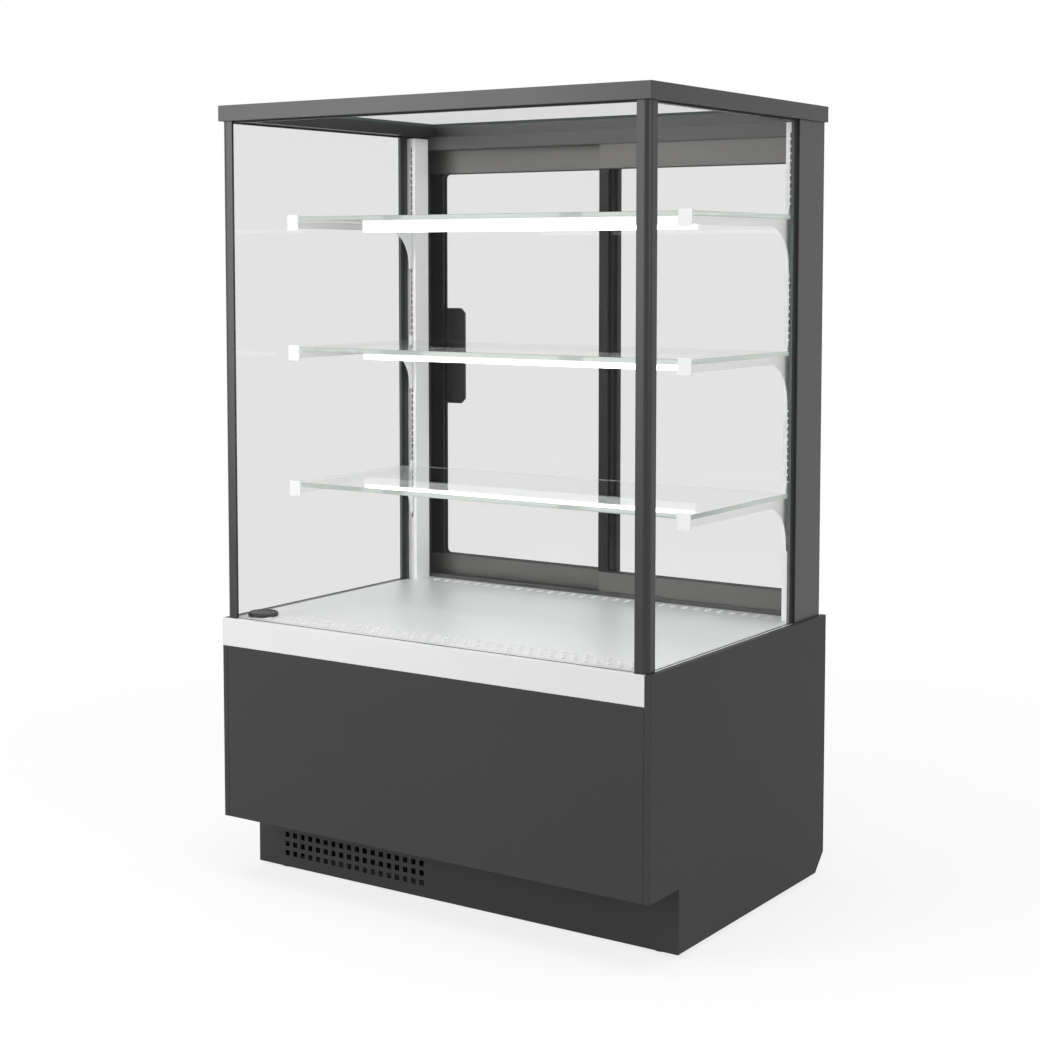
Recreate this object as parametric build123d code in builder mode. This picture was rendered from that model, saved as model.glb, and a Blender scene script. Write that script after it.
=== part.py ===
from build123d import *
import math
import os

# Refrigerated pastry display case, in millimetres.
# +X is the customer's right, +Y the staff side, +Z up.
# The origin is on the floor, under the middle of the case.

os.makedirs("parts", exist_ok=True)

# Overall sizes
case_width = 900.0
case_depth = 640.0
floor_gap = 8.0
base_top = 484.0
glass_height = 896.0
roof_height = 28.0
half_width = case_width / 2
front_y = -case_depth / 2
rear_y = case_depth / 2
roof_bottom = base_top + glass_height
roof_top = roof_bottom + roof_height

# Base cladding
side_panel_thickness = 11.0
side_panel_round = 1.5
toe_height = 117.0
toe_depth = 95.0
rear_chamfer = 33.0
cladding_sheet = 1.5
panel_seam = 0.5
front_panel_return = 18.0
fascia_height = 51.0
fascia_sheet = 2.0
fascia_flange = 28.0
inner_x = half_width - side_panel_thickness
fascia_bottom = base_top - fascia_height
kick_y = front_y + toe_depth
fascia_back = front_y + fascia_flange

# Intake holes in the toe kick
intake_columns = 18
intake_rows = 3
intake_column_pitch = 18.3
intake_row_pitch = 17.5
intake_hole = 10.0
intake_inset = 213.0
intake_centre_z = 51.0
intake_centre_x = -inner_x + intake_inset

# Chassis tray and rear sheet metal
tray_bottom = 20.0
tray_sheet = 2.0
tray_flange = 30.0
tray_rear_inset = 9.5
sill_front_inset = 62.0
sill_sheet = 1.5
sill_front_flange = 14.0
sill_rear_flange = 44.0
tray_front = kick_y + cladding_sheet
tray_top = tray_bottom + tray_sheet
tray_rear = rear_y - tray_rear_inset
sill_front = rear_y - sill_front_inset
sill_rear = tray_rear + sill_sheet
sill_control_margin = 4.0
louvre_length = 62.0
louvre_width = 7.0
louvre_column_pitch = 84.0
louvre_row_pitch = 18.0
louvre_columns = 4
louvre_rows = 9
louvre_inset = 239.0
louvre_centre_z = 190.0
louvre_centre_x = -inner_x + louvre_inset

# Insulated well and the display deck over it
well_gap = 3.0
well_front_gap = 2.0
well_depth = 184.0
well_ledge_drop = 14.0
well_rim_width = 8.0
well_wall = 35.0
well_front_wall = 10.0
drain_radius = 9.0
drain_bore = 7.0
drain_length = 40.0
deck_sheet = 2.0
deck_gap = 0.5
front_slot_length = 15.0
front_slot_width = 5.5
front_slot_pitch = 22.0
front_slot_count = 37
front_slot_rows = 3
front_slot_row_pitch = 19.0
front_slot_inset = 48.5
rear_slot_length = 17.0
rear_slot_width = 6.0
rear_slot_pitch = 25.0
rear_slot_count = 31
rear_slot_inset = 20.5
well_x = inner_x - well_gap
well_front = front_y + front_panel_return + well_front_gap
well_rear = sill_front
well_bottom = base_top - well_depth
well_ledge = base_top - well_ledge_drop
well_floor = well_bottom + well_wall
deck_front = fascia_back + deck_gap
deck_rear = sill_front - deck_gap
deck_x = inner_x - well_rim_width - deck_gap
deck_notch_gap = 1.0
front_slot_y = deck_front + front_slot_inset
rear_slot_y = deck_rear - rear_slot_inset

# Round thermometer standing on the deck
thermometer_radius = 27.5
thermometer_height = 7.0
thermometer_margin = 1.0
thermometer_x = -deck_x + thermometer_radius + thermometer_margin
thermometer_y = deck_front + thermometer_radius + thermometer_margin

# Roof frame and its pane
roof_side_inset = 3.5
roof_rear_inset = 8.0
rail_width = 41.0
rail_wall = 2.0
rebate_width = 10.0
glass_thickness = 6.0
roof_x = half_width - roof_side_inset
roof_front = front_y
roof_rear = rear_y - roof_rear_inset
pane_gap = 0.5

# Posts and glazing
side_inset = 8.0
front_inset = 4.0
post_size = 24.0
post_round = 10.0
post_wall = 3.0
rear_post_width = 11.0
rear_post_depth = 100.0
rear_post_inset = 14.0
rear_post_wall = 1.5
glazing_tape = 1.5
front_pane_inset = 8.0
corner_joint = 1.0
rear_gasket_width = 12.0
top_gasket = 3.0
outer_x = half_width - side_inset
post_front = front_y + front_inset
post_rear = post_front + post_size
post_inner_x = outer_x - post_size
rear_post_x = outer_x - rear_post_width
rear_post_rear = rear_y - rear_post_inset
rear_post_front = rear_post_rear - rear_post_depth
leg_inner_x = outer_x - post_wall
leg_inner_y = post_front + post_wall
front_pane_x = outer_x - front_pane_inset
front_pane_y = (leg_inner_y + glazing_tape, leg_inner_y + glazing_tape + glass_thickness)
side_pane_x = (leg_inner_x - glazing_tape - glass_thickness, leg_inner_x - glazing_tape)
side_pane_y = (front_pane_y[1] + corner_joint, rear_post_front - rear_gasket_width)
pane_top = roof_bottom - top_gasket

# Shelf uprights, brackets and shelves
upright_width = 20.0
upright_wall = 1.5
upright_setback = 9.0
upright_top_gap = 4.0
slot_pitch = 12.7
slots_below_shelf = 8
bracket_slot_height = 9.0
bracket_slot_width = 3.5
bracket_sheet = 2.5
bracket_heel = 8.0
bracket_rise = 10.0
bracket_drop = 90.0
arm_depth = 14.0
arm_flange = 10.0
gusset_length = 60.0
lip_width = 26.0
lip_drop = 18.0
lip_rise = 3.0
hook_reach = 6.0
hook_neck = 6.0
hook_drop = 5.0
hook_gap = 0.3
lower_hook_steps = 7
shelf_thickness = 8.0
shelf_edge = 0.8
shelf_corner = 4.0
shelf_side_gap = 3.0
shelf_setback = 167.0
shelf_gap = 0.5
bottom_shelf_rise = 234.0
middle_shelf_steps = 20
top_shelf_steps = 39
lamp_end_gap = 66.0
lamp_height = 20.0
lamp_depth = 14.0
lamp_round = 3.0
lamp_setback = 143.0
lamp_groove = 1.0
lamp_cap = 6.0
upright_front = rear_post_front + upright_setback
upright_rear = sill_front
upright_top = roof_bottom - upright_top_gap
upright_x = rear_post_x - upright_width
slot_x = rear_post_x - upright_width / 2
shelf_x = rear_post_x - shelf_side_gap
shelf_front = front_y + shelf_setback
shelf_rear = upright_front - bracket_heel - shelf_gap
bottom_shelf_top = base_top + bottom_shelf_rise
slots_above_shelf = int((upright_top - bottom_shelf_top) / slot_pitch) - 1
lamp_half_length = shelf_x - lamp_end_gap
lamp_y = shelf_front + lamp_setback
shelf_tops = {
    3: bottom_shelf_top,
    2: bottom_shelf_top + middle_shelf_steps * slot_pitch,
    1: bottom_shelf_top + top_shelf_steps * slot_pitch,
}

# Sliding doors
track_setback = 2.0
track_lip = 2.0
track_channel = 19.0
track_floor = 2.0
bottom_lip_height = 6.0
top_lip_height = 22.0
top_track_floor = 4.0
door_thickness = 15.0
door_run_gap = 0.3
door_top_gap = 8.0
door_round = 1.5
jamb_seal = 6.0
door_side_gap = 0.5
outer_stile = 31.0
meeting_stile = 20.0
window_rise = 48.0
window_drop = 74.0
window_round = 9.0
left_door_meeting_x = 21.5
right_door_meeting_x = -8.0
door_glass_thickness = 5.0
glazing_depth = 8.0
glazing_gap = 0.2
track_front = sill_front + track_setback
track_rear = track_front + 3 * track_lip + 2 * track_channel
near_channel_y = track_front + track_lip + track_channel / 2
far_channel_y = near_channel_y + track_channel + track_lip
door_bottom = base_top + track_floor + door_run_gap
door_top = roof_bottom - top_track_floor - door_top_gap
jamb_x = rear_post_x - jamb_seal
window_bottom = base_top + window_rise
window_top = roof_bottom - window_drop

# Door handles
handle_rise = 356.0
handle_length = 195.0
handle_reach = 38.5
handle_cover = 27.0
handle_sheet = 4.0
handle_offset = 6.0
handle_corner = 10.0
flush_plate = 2.5
flush_plate_width = 26.0
finger_slot_length = 110.0
finger_slot_width = 18.0
finger_pocket = 9.0
handle_bottom = base_top + handle_rise

# Levelling feet
foot_side_inset = 37.0
foot_front_inset = 33.5
foot_rear_inset = 45.5
foot_pad_radius = 18.0
foot_pad_height = 7.0
foot_stem_radius = 5.0
foot_stem_length = 46.0
thread_clearance = 0.05
boss_radius = 10.0
boss_height = 12.0
foot_x = inner_x - foot_side_inset
foot_front_y = tray_front + foot_front_inset
foot_rear_y = tray_rear - foot_rear_inset

# Condensing unit in the base
coil_half_width = 160.0
coil_headroom = 36.0
coil_depth = 50.0
coil_offset = 2.0
coil_lift = 12.0
coil_setback = 9.5
coil_end_plate = 2.0
fin_pitch = 8.0
fin_sheet = 1.0
tube_radius = 4.5
shroud_depth = 42.0
shroud_sheet = 2.0
fan_margin = 13.0
fan_gap = 6.0
fan_hub_radius = 30.0
fan_hub_length = 30.0
fan_shaft_radius = 4.0
fan_blade_count = 5
fan_blade_chord = 62.0
fan_blade_sheet = 2.5
fan_blade_pitch = 28.0
motor_standoff = 6.0
motor_arm = 10.0
motor_radius = 38.0
motor_length = 58.0
shaft_clearance = 0.05
compressor_side_inset = 289.0
compressor_rear_inset = 170.5
compressor_radius = 76.0
compressor_headroom = 102.0
compressor_dome = 40.0
compressor_top_reach = 25.0
compressor_foot = 190.0
compressor_plate = 3.0
grommet_radius = 11.0
grommet_height = 8.0
grommet_inset = 30.0
terminal_width = 60.0
terminal_depth = 44.0
terminal_lift = 40.0
coil_x = intake_centre_x - coil_offset
coil_front = tray_front + coil_setback
coil_bottom = tray_top + coil_lift
coil_top = well_bottom - coil_headroom
fan_radius = (coil_top - coil_bottom) / 2 - fan_margin
compressor_x = inner_x - compressor_side_inset
compressor_y = tray_rear - compressor_rear_inset
plate_z = tray_top + grommet_height
can_z = plate_z + compressor_plate
can_top = well_bottom - compressor_headroom

# Evaporator in the well
evaporator_end_gap = 151.0
evaporator_rear_gap = 38.0
evaporator_depth = 90.0
evaporator_height = 100.0
evaporator_fin_pitch = 12.0
blower_standoff = 35.0
blower_panel_end_gap = 101.0
blower_radius = 50.0
blower_gap = 4.0
blower_hub_radius = 18.0
blower_hub_length = 18.0
blower_shaft_radius = 3.0
blower_blade_count = 7
blower_blade_chord = 26.0
blower_arm = 4.0
blower_motor_radius = 20.0
blower_motor_length = 14.0
blower_lift = 65.0
panel_foot = 20.0
evaporator_half_width = well_x - well_wall - evaporator_end_gap
evaporator_rear = well_rear - well_wall - evaporator_rear_gap
evaporator_front = evaporator_rear - evaporator_depth
blower_panel_y = evaporator_front - blower_standoff
blower_panel_half_width = well_x - well_wall - blower_panel_end_gap
blower_z = well_floor + blower_lift

# Control panel at the back
control_side_inset = 174.0
control_width = 150.0
control_height = 38.0
control_plate = 3.0
control_round = 1.0
controller_offset = 25.0
control_body_width = 72.0
control_body_height = 28.0
control_body_depth = 40.0
display_width = 34.0
display_height = 18.0
display_recess = 1.0
display_shift = 11.0
button_radius = 4.0
button_gap = 0.3
button_proud = 1.8
button_edge = 0.8
button_length = 8.0
button_travel_room = 2.0
button_pitch = 14.0
button_inset = 16.0
rocker_offset = 31.0
rocker_pitch = 22.0
rocker_width = 14.0
rocker_height = 24.0
rocker_thickness = 8.0
rocker_gap = 0.6
rocker_case = 2.0
rocker_pocket = 6.5
rocker_pin_radius = 1.5
rocker_pin_reach = 1.5
rocker_tilt = 8.0
control_x = inner_x - control_side_inset
controller_x = control_x - controller_offset
rocker_first_x = control_x + rocker_offset

# Mains entry and refrigerant pipes
gland_side_inset = 109.0
gland_z = 80.0
gland_bore = 4.5
gland_thread_radius = 8.0
gland_hole_gap = 0.1
gland_nut_radius = 11.0
gland_hex = 6.0
pipe_radius = 4.0
pipe_bend = 22.0
pipe_drop = 26.0
gland_x = inner_x - gland_side_inset


def block(x, y, z, mode=Mode.ADD):
    """A box between pairs of limits along X, Y and Z."""
    with Locations(((x[0] + x[1]) / 2, (y[0] + y[1]) / 2, (z[0] + z[1]) / 2)):
        Box(x[1] - x[0], y[1] - y[0], z[1] - z[0], mode=mode)


def mirrored(hand, near, far):
    """A pair of X limits on the left (-1) or right (1) side of the case."""
    return (near, far) if hand > 0 else (-far, -near)


def rod_y(x, z, radius, y, mode=Mode.ADD):
    """A round bar along Y between two limits."""
    with Locations((x, (y[0] + y[1]) / 2, z)):
        Cylinder(radius, y[1] - y[0], rotation=(90, 0, 0), mode=mode)


# Base side panels: a board with a toe notch at the front and a cut lower rear corner
for side, hand in (("left", -1), ("right", 1)):
    with BuildPart() as side_panel:
        with BuildSketch(Plane.YZ.offset(inner_x if hand > 0 else -half_width)):
            with BuildLine():
                Polyline(
                    (front_y, toe_height),
                    (front_y, base_top),
                    (rear_y, base_top),
                    (rear_y, floor_gap + rear_chamfer),
                    (rear_y - rear_chamfer, floor_gap),
                    (tray_front, floor_gap),
                    (tray_front, toe_height),
                    close=True,
                )
            make_face()
        extrude(amount=side_panel_thickness)
        outer_face = side_panel.faces().sort_by(Axis.X)[-1 if hand > 0 else 0]
        fillet(outer_face.edges(), radius=side_panel_round)
        if hand < 0:
            block((-half_width, -inner_x), (front_y, front_y + fascia_sheet), (fascia_bottom, base_top),
                  Mode.SUBTRACT)
    side_panel.part.label = f"side_panel_{side}"
    export_step(side_panel.part, f"parts/side_panel_{side}.step")

# Front panel: a folded steel tray between the side panels
front_panel_x = inner_x - panel_seam
with BuildPart() as front_panel:
    block((-front_panel_x, front_panel_x), (front_y, front_y + front_panel_return),
          (toe_height, fascia_bottom - panel_seam))
    block((-front_panel_x + cladding_sheet, front_panel_x - cladding_sheet),
          (front_y + cladding_sheet, front_y + front_panel_return),
          (toe_height + cladding_sheet, fascia_bottom - panel_seam - cladding_sheet), Mode.SUBTRACT)
    fillet(front_panel.faces().sort_by(Axis.Y)[0].edges(), radius=cladding_sheet / 2)
front_panel.part.label = "front_panel"
export_step(front_panel.part, "parts/front_panel.step")

# White fascia strip: its top flange carries the front glass, its left end laps the side panel
with BuildPart() as front_fascia:
    with BuildSketch(Plane.YZ.offset(-inner_x)):
        with BuildLine():
            Polyline(
                (front_y, fascia_bottom),
                (front_y, base_top),
                (fascia_back, base_top),
                (fascia_back, base_top - fascia_sheet),
                (front_y + fascia_sheet, base_top - fascia_sheet),
                (front_y + fascia_sheet, fascia_bottom + fascia_sheet),
                (front_y + front_panel_return, fascia_bottom + fascia_sheet),
                (front_y + front_panel_return, fascia_bottom),
                close=True,
            )
        make_face()
    extrude(amount=2 * inner_x)
    block((-half_width, -inner_x), (front_y, front_y + fascia_sheet), (fascia_bottom, base_top))
    front_edges = front_fascia.edges().filter_by(Axis.X).group_by(Axis.Y)[0]
    fillet(front_edges, radius=fascia_sheet / 2)
front_fascia.part.label = "front_fascia"
export_step(front_fascia.part, "parts/front_fascia.step")

# Toe kick: folded sheet with a soffit over the toe space and square air intake holes
with BuildPart() as kick_panel:
    block((-half_width, half_width), (kick_y, tray_front), (floor_gap, toe_height))
    block((-inner_x, inner_x), (kick_y, tray_front), (toe_height, toe_height + cladding_sheet))
    block((-inner_x, inner_x), (front_y + front_panel_return, kick_y),
          (toe_height, toe_height + cladding_sheet))
    with BuildSketch(Plane(origin=(intake_centre_x, kick_y, intake_centre_z), x_dir=(1, 0, 0),
                           z_dir=(0, -1, 0))):
        with GridLocations(intake_column_pitch, intake_row_pitch, intake_columns, intake_rows):
            Rectangle(intake_hole, intake_hole)
    extrude(amount=-2 * cladding_sheet, mode=Mode.SUBTRACT)
kick_panel.part.label = "kick_panel"
export_step(kick_panel.part, "parts/kick_panel.step")

# Chassis tray: floor of the machine compartment, with a threaded boss over each foot
foot_places = {
    "front_left": (-foot_x, foot_front_y),
    "front_right": (foot_x, foot_front_y),
    "rear_left": (-foot_x, foot_rear_y),
    "rear_right": (foot_x, foot_rear_y),
}
with BuildPart() as chassis_tray:
    block((-inner_x, inner_x), (tray_front, tray_rear), (tray_bottom, tray_bottom + tray_flange))
    block((-inner_x + tray_sheet, inner_x - tray_sheet), (tray_front + tray_sheet, tray_rear - tray_sheet),
          (tray_top, tray_bottom + tray_flange), Mode.SUBTRACT)
    with BuildSketch(Plane.XY.offset(tray_bottom)):
        with Locations(*foot_places.values()):
            Circle(boss_radius)
    extrude(amount=tray_sheet + boss_height)
    with BuildSketch(Plane.XY.offset(tray_bottom)):
        with Locations(*foot_places.values()):
            Circle(foot_stem_radius + thread_clearance)
    extrude(amount=tray_sheet + boss_height, mode=Mode.SUBTRACT)
    intake_low = intake_centre_z - (intake_rows * intake_row_pitch) / 2
    intake_span = intake_columns * intake_column_pitch / 2
    block((intake_centre_x - intake_span, intake_centre_x + intake_span),
          (tray_front, tray_front + tray_sheet), (intake_low, tray_bottom + tray_flange), Mode.SUBTRACT)
chassis_tray.part.label = "chassis_tray"
export_step(chassis_tray.part, "parts/chassis_tray.step")

# Levelling feet: a pad on a threaded stem
for place, (x, y) in foot_places.items():
    with BuildPart() as levelling_foot:
        with BuildSketch(Plane.XY):
            with Locations((x, y)):
                Circle(foot_pad_radius)
        extrude(amount=foot_pad_height)
        chamfer(levelling_foot.faces().sort_by(Axis.Z)[-1].edges(), length=2.5)
        with BuildSketch(Plane.XY.offset(foot_pad_height)):
            with Locations((x, y)):
                Circle(foot_stem_radius)
        extrude(amount=foot_stem_length)
    levelling_foot.part.label = f"levelling_foot_{place}"
    export_step(levelling_foot.part, f"parts/levelling_foot_{place}.step")

# Rear service panel: louvred sheet over the machine compartment
with BuildPart() as rear_service_panel:
    block((-inner_x + panel_seam, inner_x - panel_seam), (tray_rear, sill_rear),
          (tray_bottom, base_top - sill_rear_flange - panel_seam))
    with BuildSketch(Plane(origin=(louvre_centre_x, sill_rear, louvre_centre_z), x_dir=(1, 0, 0),
                           z_dir=(0, -1, 0))):
        with GridLocations(louvre_column_pitch, louvre_row_pitch, louvre_columns, louvre_rows):
            SlotOverall(louvre_length, louvre_width)
    extrude(amount=2 * sill_sheet, mode=Mode.SUBTRACT)
    rod_y(gland_x, gland_z, gland_thread_radius + gland_hole_gap, (tray_rear, sill_rear), Mode.SUBTRACT)
rear_service_panel.part.label = "rear_service_panel"
export_step(rear_service_panel.part, "parts/rear_service_panel.step")

# Rear sill: folded channel that carries the door track, cut out for the controls
control_z = base_top - sill_rear_flange / 2
with BuildPart() as rear_sill:
    block((-inner_x, inner_x), (sill_front, sill_rear), (base_top - sill_sheet, base_top))
    block((-inner_x, inner_x), (sill_front, sill_front + sill_sheet),
          (base_top - sill_front_flange, base_top))
    block((-inner_x, inner_x), (tray_rear, sill_rear), (base_top - sill_rear_flange, base_top))
    block((control_x - control_width / 2 + sill_control_margin,
           control_x + control_width / 2 - sill_control_margin),
          (tray_rear, sill_rear),
          (control_z - control_height / 2 + sill_control_margin,
           control_z + control_height / 2 - sill_control_margin),
          Mode.SUBTRACT)
rear_sill.part.label = "rear_sill"
export_step(rear_sill.part, "parts/rear_sill.step")

# Insulated well: foam-filled tub under the deck, with white side rims and a drain spout
with BuildPart() as insulated_well:
    block((-well_x, well_x), (well_front, well_rear), (well_bottom, well_ledge))
    block((-well_x + well_wall, well_x - well_wall), (well_front + well_front_wall, well_rear - well_wall),
          (well_floor, well_ledge), Mode.SUBTRACT)
    for hand in (-1, 1):
        block(mirrored(hand, inner_x - well_rim_width, inner_x), (fascia_back, sill_front),
              (well_ledge, base_top))
    drain_plane = Plane.XY.offset(well_bottom - drain_length)
    drain_x = well_x - 2 * well_wall
    with BuildSketch(drain_plane):
        with Locations((drain_x, 0)):
            Circle(drain_radius)
    extrude(amount=drain_length)
    with BuildSketch(drain_plane):
        with Locations((drain_x, 0)):
            Circle(drain_bore)
    extrude(amount=drain_length + well_wall, mode=Mode.SUBTRACT)
insulated_well.part.label = "insulated_well"
export_step(insulated_well.part, "parts/insulated_well.step")

# Display deck: folded sheet with air slots along the front and the back
with BuildPart() as display_deck:
    block((-deck_x, deck_x), (deck_front, deck_rear), (well_ledge, base_top))
    block((-deck_x + deck_sheet, deck_x - deck_sheet), (deck_front + deck_sheet, deck_rear - deck_sheet),
          (well_ledge, base_top - deck_sheet), Mode.SUBTRACT)
    for hand in (-1, 1):
        block(mirrored(hand, upright_x - deck_notch_gap, deck_x),
              (upright_front - deck_notch_gap, deck_rear),
              (well_ledge, base_top), Mode.SUBTRACT)
        block(mirrored(hand, rear_post_x - deck_notch_gap, deck_x),
              (rear_post_front - deck_notch_gap, upright_front), (well_ledge, base_top), Mode.SUBTRACT)
    with BuildSketch(Plane.XY.offset(base_top)):
        for row in range(front_slot_rows):
            with Locations((0, front_slot_y - row * front_slot_row_pitch)):
                with GridLocations(front_slot_pitch, 1, front_slot_count - row % 2, 1):
                    SlotOverall(front_slot_length, front_slot_width, rotation=90)
        with Locations((0, rear_slot_y)):
            with GridLocations(rear_slot_pitch, 1, rear_slot_count, 1):
                SlotOverall(rear_slot_length, rear_slot_width, rotation=90)
    extrude(amount=-deck_sheet, mode=Mode.SUBTRACT)
display_deck.part.label = "display_deck"
export_step(display_deck.part, "parts/display_deck.step")

# Deck thermometer: low black puck in the front left corner
with BuildPart() as deck_thermometer:
    with BuildSketch(Plane.XY.offset(base_top)):
        with Locations((thermometer_x, thermometer_y)):
            Circle(thermometer_radius)
    extrude(amount=thermometer_height)
    chamfer(deck_thermometer.faces().sort_by(Axis.Z)[-1].edges(), length=2)
deck_thermometer.part.label = "deck_thermometer"
export_step(deck_thermometer.part, "parts/deck_thermometer.step")

# Roof frame: four mitred hollow rails, rebated on top for the pane
rebate_bottom = roof_top - glass_thickness
rail_plans = (
    ((-roof_x, roof_front), (roof_x, roof_front),
     (roof_x - rail_width, roof_front + rail_width), (-roof_x + rail_width, roof_front + rail_width)),
    ((roof_x, roof_front), (roof_x, roof_rear),
     (roof_x - rail_width, roof_rear - rail_width), (roof_x - rail_width, roof_front + rail_width)),
    ((roof_x, roof_rear), (-roof_x, roof_rear),
     (-roof_x + rail_width, roof_rear - rail_width), (roof_x - rail_width, roof_rear - rail_width)),
    ((-roof_x, roof_rear), (-roof_x, roof_front),
     (-roof_x + rail_width, roof_front + rail_width), (-roof_x + rail_width, roof_rear - rail_width)),
)
rebate_edge = rail_width - rebate_width
roof_centre_y = (roof_front + roof_rear) / 2
roof_depth = roof_rear - roof_front
for place, plan in zip(("front", "right", "rear", "left"), rail_plans):
    with BuildPart() as roof_rail:
        with BuildSketch(Plane.XY.offset(roof_bottom)):
            with BuildLine():
                Polyline(*plan, close=True)
            make_face()
        extrude(amount=roof_height)
        block((-roof_x + rebate_edge, roof_x - rebate_edge),
              (roof_front + rebate_edge, roof_rear - rebate_edge),
              (rebate_bottom, roof_top), Mode.SUBTRACT)
        with BuildSketch(Plane((0, roof_centre_y, roof_bottom + rail_wall))):
            Rectangle(2 * (roof_x - rail_wall), roof_depth - 2 * rail_wall)
            Rectangle(2 * (roof_x - rebate_edge + rail_wall), roof_depth - 2 * (rebate_edge - rail_wall),
                      mode=Mode.SUBTRACT)
        extrude(amount=roof_height - 2 * rail_wall, mode=Mode.SUBTRACT)
    roof_rail.part.label = f"roof_rail_{place}"
    export_step(roof_rail.part, f"parts/roof_rail_{place}.step")

# Roof pane, lying in the rebate of the rails
with BuildPart() as roof_glass:
    block((-roof_x + rebate_edge + pane_gap, roof_x - rebate_edge - pane_gap),
          (roof_front + rebate_edge + pane_gap, roof_rear - rebate_edge - pane_gap),
          (rebate_bottom, roof_top))
roof_glass.part.label = "roof_glass"
export_step(roof_glass.part, "parts/roof_glass.step")

# Front posts: angles with a rounded outer corner, which cover the corner joint of the glass
for side, hand in (("left", -1), ("right", 1)):
    with BuildPart() as front_post:
        post_plane = Plane((hand * (outer_x - post_size / 2), post_front + post_size / 2, base_top))
        with BuildSketch(post_plane) as section:
            Rectangle(post_size, post_size)
            corner = section.vertices().group_by(Axis.Y)[0].sort_by(Axis.X)[-1 if hand > 0 else 0]
            fillet(corner, radius=post_round)
        extrude(amount=glass_height)
        block(mirrored(hand, post_inner_x, leg_inner_x), (leg_inner_y, post_rear), (base_top, roof_bottom),
              Mode.SUBTRACT)
        bay_corner = (hand * leg_inner_x, leg_inner_y, base_top + glass_height / 2)
        bay_edge = front_post.edges().filter_by(Axis.Z).sort_by_distance(bay_corner)[0]
        fillet(bay_edge, radius=post_round - post_wall)
    front_post.part.label = f"front_post_{side}"
    export_step(front_post.part, f"parts/front_post_{side}.step")

# Rear posts: flat tubes with a thicker jamb where the doors close
for side, hand in (("left", -1), ("right", 1)):
    with BuildPart() as rear_post:
        block(mirrored(hand, rear_post_x, outer_x), (rear_post_front, rear_post_rear),
              (base_top, roof_bottom))
        block(mirrored(hand, rear_post_x + rear_post_wall, outer_x - rear_post_wall),
              (rear_post_front + rear_post_wall, rear_post_rear - rear_post_wall),
              (base_top, roof_bottom), Mode.SUBTRACT)
        block(mirrored(hand, jamb_x, rear_post_x), (track_front, rear_post_rear), (base_top, roof_bottom))
    rear_post.part.label = f"rear_post_{side}"
    export_step(rear_post.part, f"parts/rear_post_{side}.step")

# Fixed glass: the front pane and the two side panes
with BuildPart() as front_glass:
    block((-front_pane_x, front_pane_x), front_pane_y, (base_top, pane_top))
front_glass.part.label = "front_glass"
export_step(front_glass.part, "parts/front_glass.step")
for side, hand in (("left", -1), ("right", 1)):
    with BuildPart() as side_glass:
        block(mirrored(hand, *side_pane_x), side_pane_y, (base_top, pane_top))
    side_glass.part.label = f"side_glass_{side}"
    export_step(side_glass.part, f"parts/side_glass_{side}.step")

# Black gaskets: glazing tape and a corner joint in the front posts, bands at the rear posts,
# strips over the panes
with BuildPart() as glass_gaskets:
    for hand in (-1, 1):
        block(mirrored(hand, post_inner_x, outer_x - post_round), (leg_inner_y, front_pane_y[0]),
              (base_top, roof_bottom))
        block(mirrored(hand, side_pane_x[1], leg_inner_x), (front_pane_y[1], post_rear),
              (base_top, roof_bottom))
        block(mirrored(hand, *side_pane_x), (front_pane_y[1], side_pane_y[0]), (base_top, roof_bottom))
        block(mirrored(hand, *side_pane_x), (side_pane_y[1], rear_post_front), (base_top, roof_bottom))
        block(mirrored(hand, *side_pane_x), side_pane_y, (pane_top, roof_bottom))
    block((-front_pane_x, front_pane_x), front_pane_y, (pane_top, roof_bottom))
glass_gaskets.part.label = "glass_gaskets"
export_step(glass_gaskets.part, "parts/glass_gaskets.step")

# Slotted uprights: rectangular tubes whose front wall is pierced for the bracket hooks
slot_levels = range(-slots_below_shelf, slots_above_shelf + 1)
for side, hand in (("left", -1), ("right", 1)):
    with BuildPart() as shelf_upright:
        block(mirrored(hand, upright_x, rear_post_x), (upright_front, upright_rear),
              (well_ledge, upright_top))
        block(mirrored(hand, upright_x + upright_wall, rear_post_x - upright_wall),
              (upright_front + upright_wall, upright_rear - upright_wall),
              (well_ledge, upright_top), Mode.SUBTRACT)
        slot_centres = [(hand * slot_x, bottom_shelf_top + level * slot_pitch) for level in slot_levels]
        with BuildSketch(Plane(origin=(0, upright_front, 0), x_dir=(1, 0, 0), z_dir=(0, -1, 0))):
            with Locations(*slot_centres):
                Rectangle(bracket_slot_width, bracket_slot_height)
        extrude(amount=-upright_wall, mode=Mode.SUBTRACT)
    shelf_upright.part.label = f"shelf_upright_{side}"
    export_step(shelf_upright.part, f"parts/shelf_upright_{side}.step")

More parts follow.
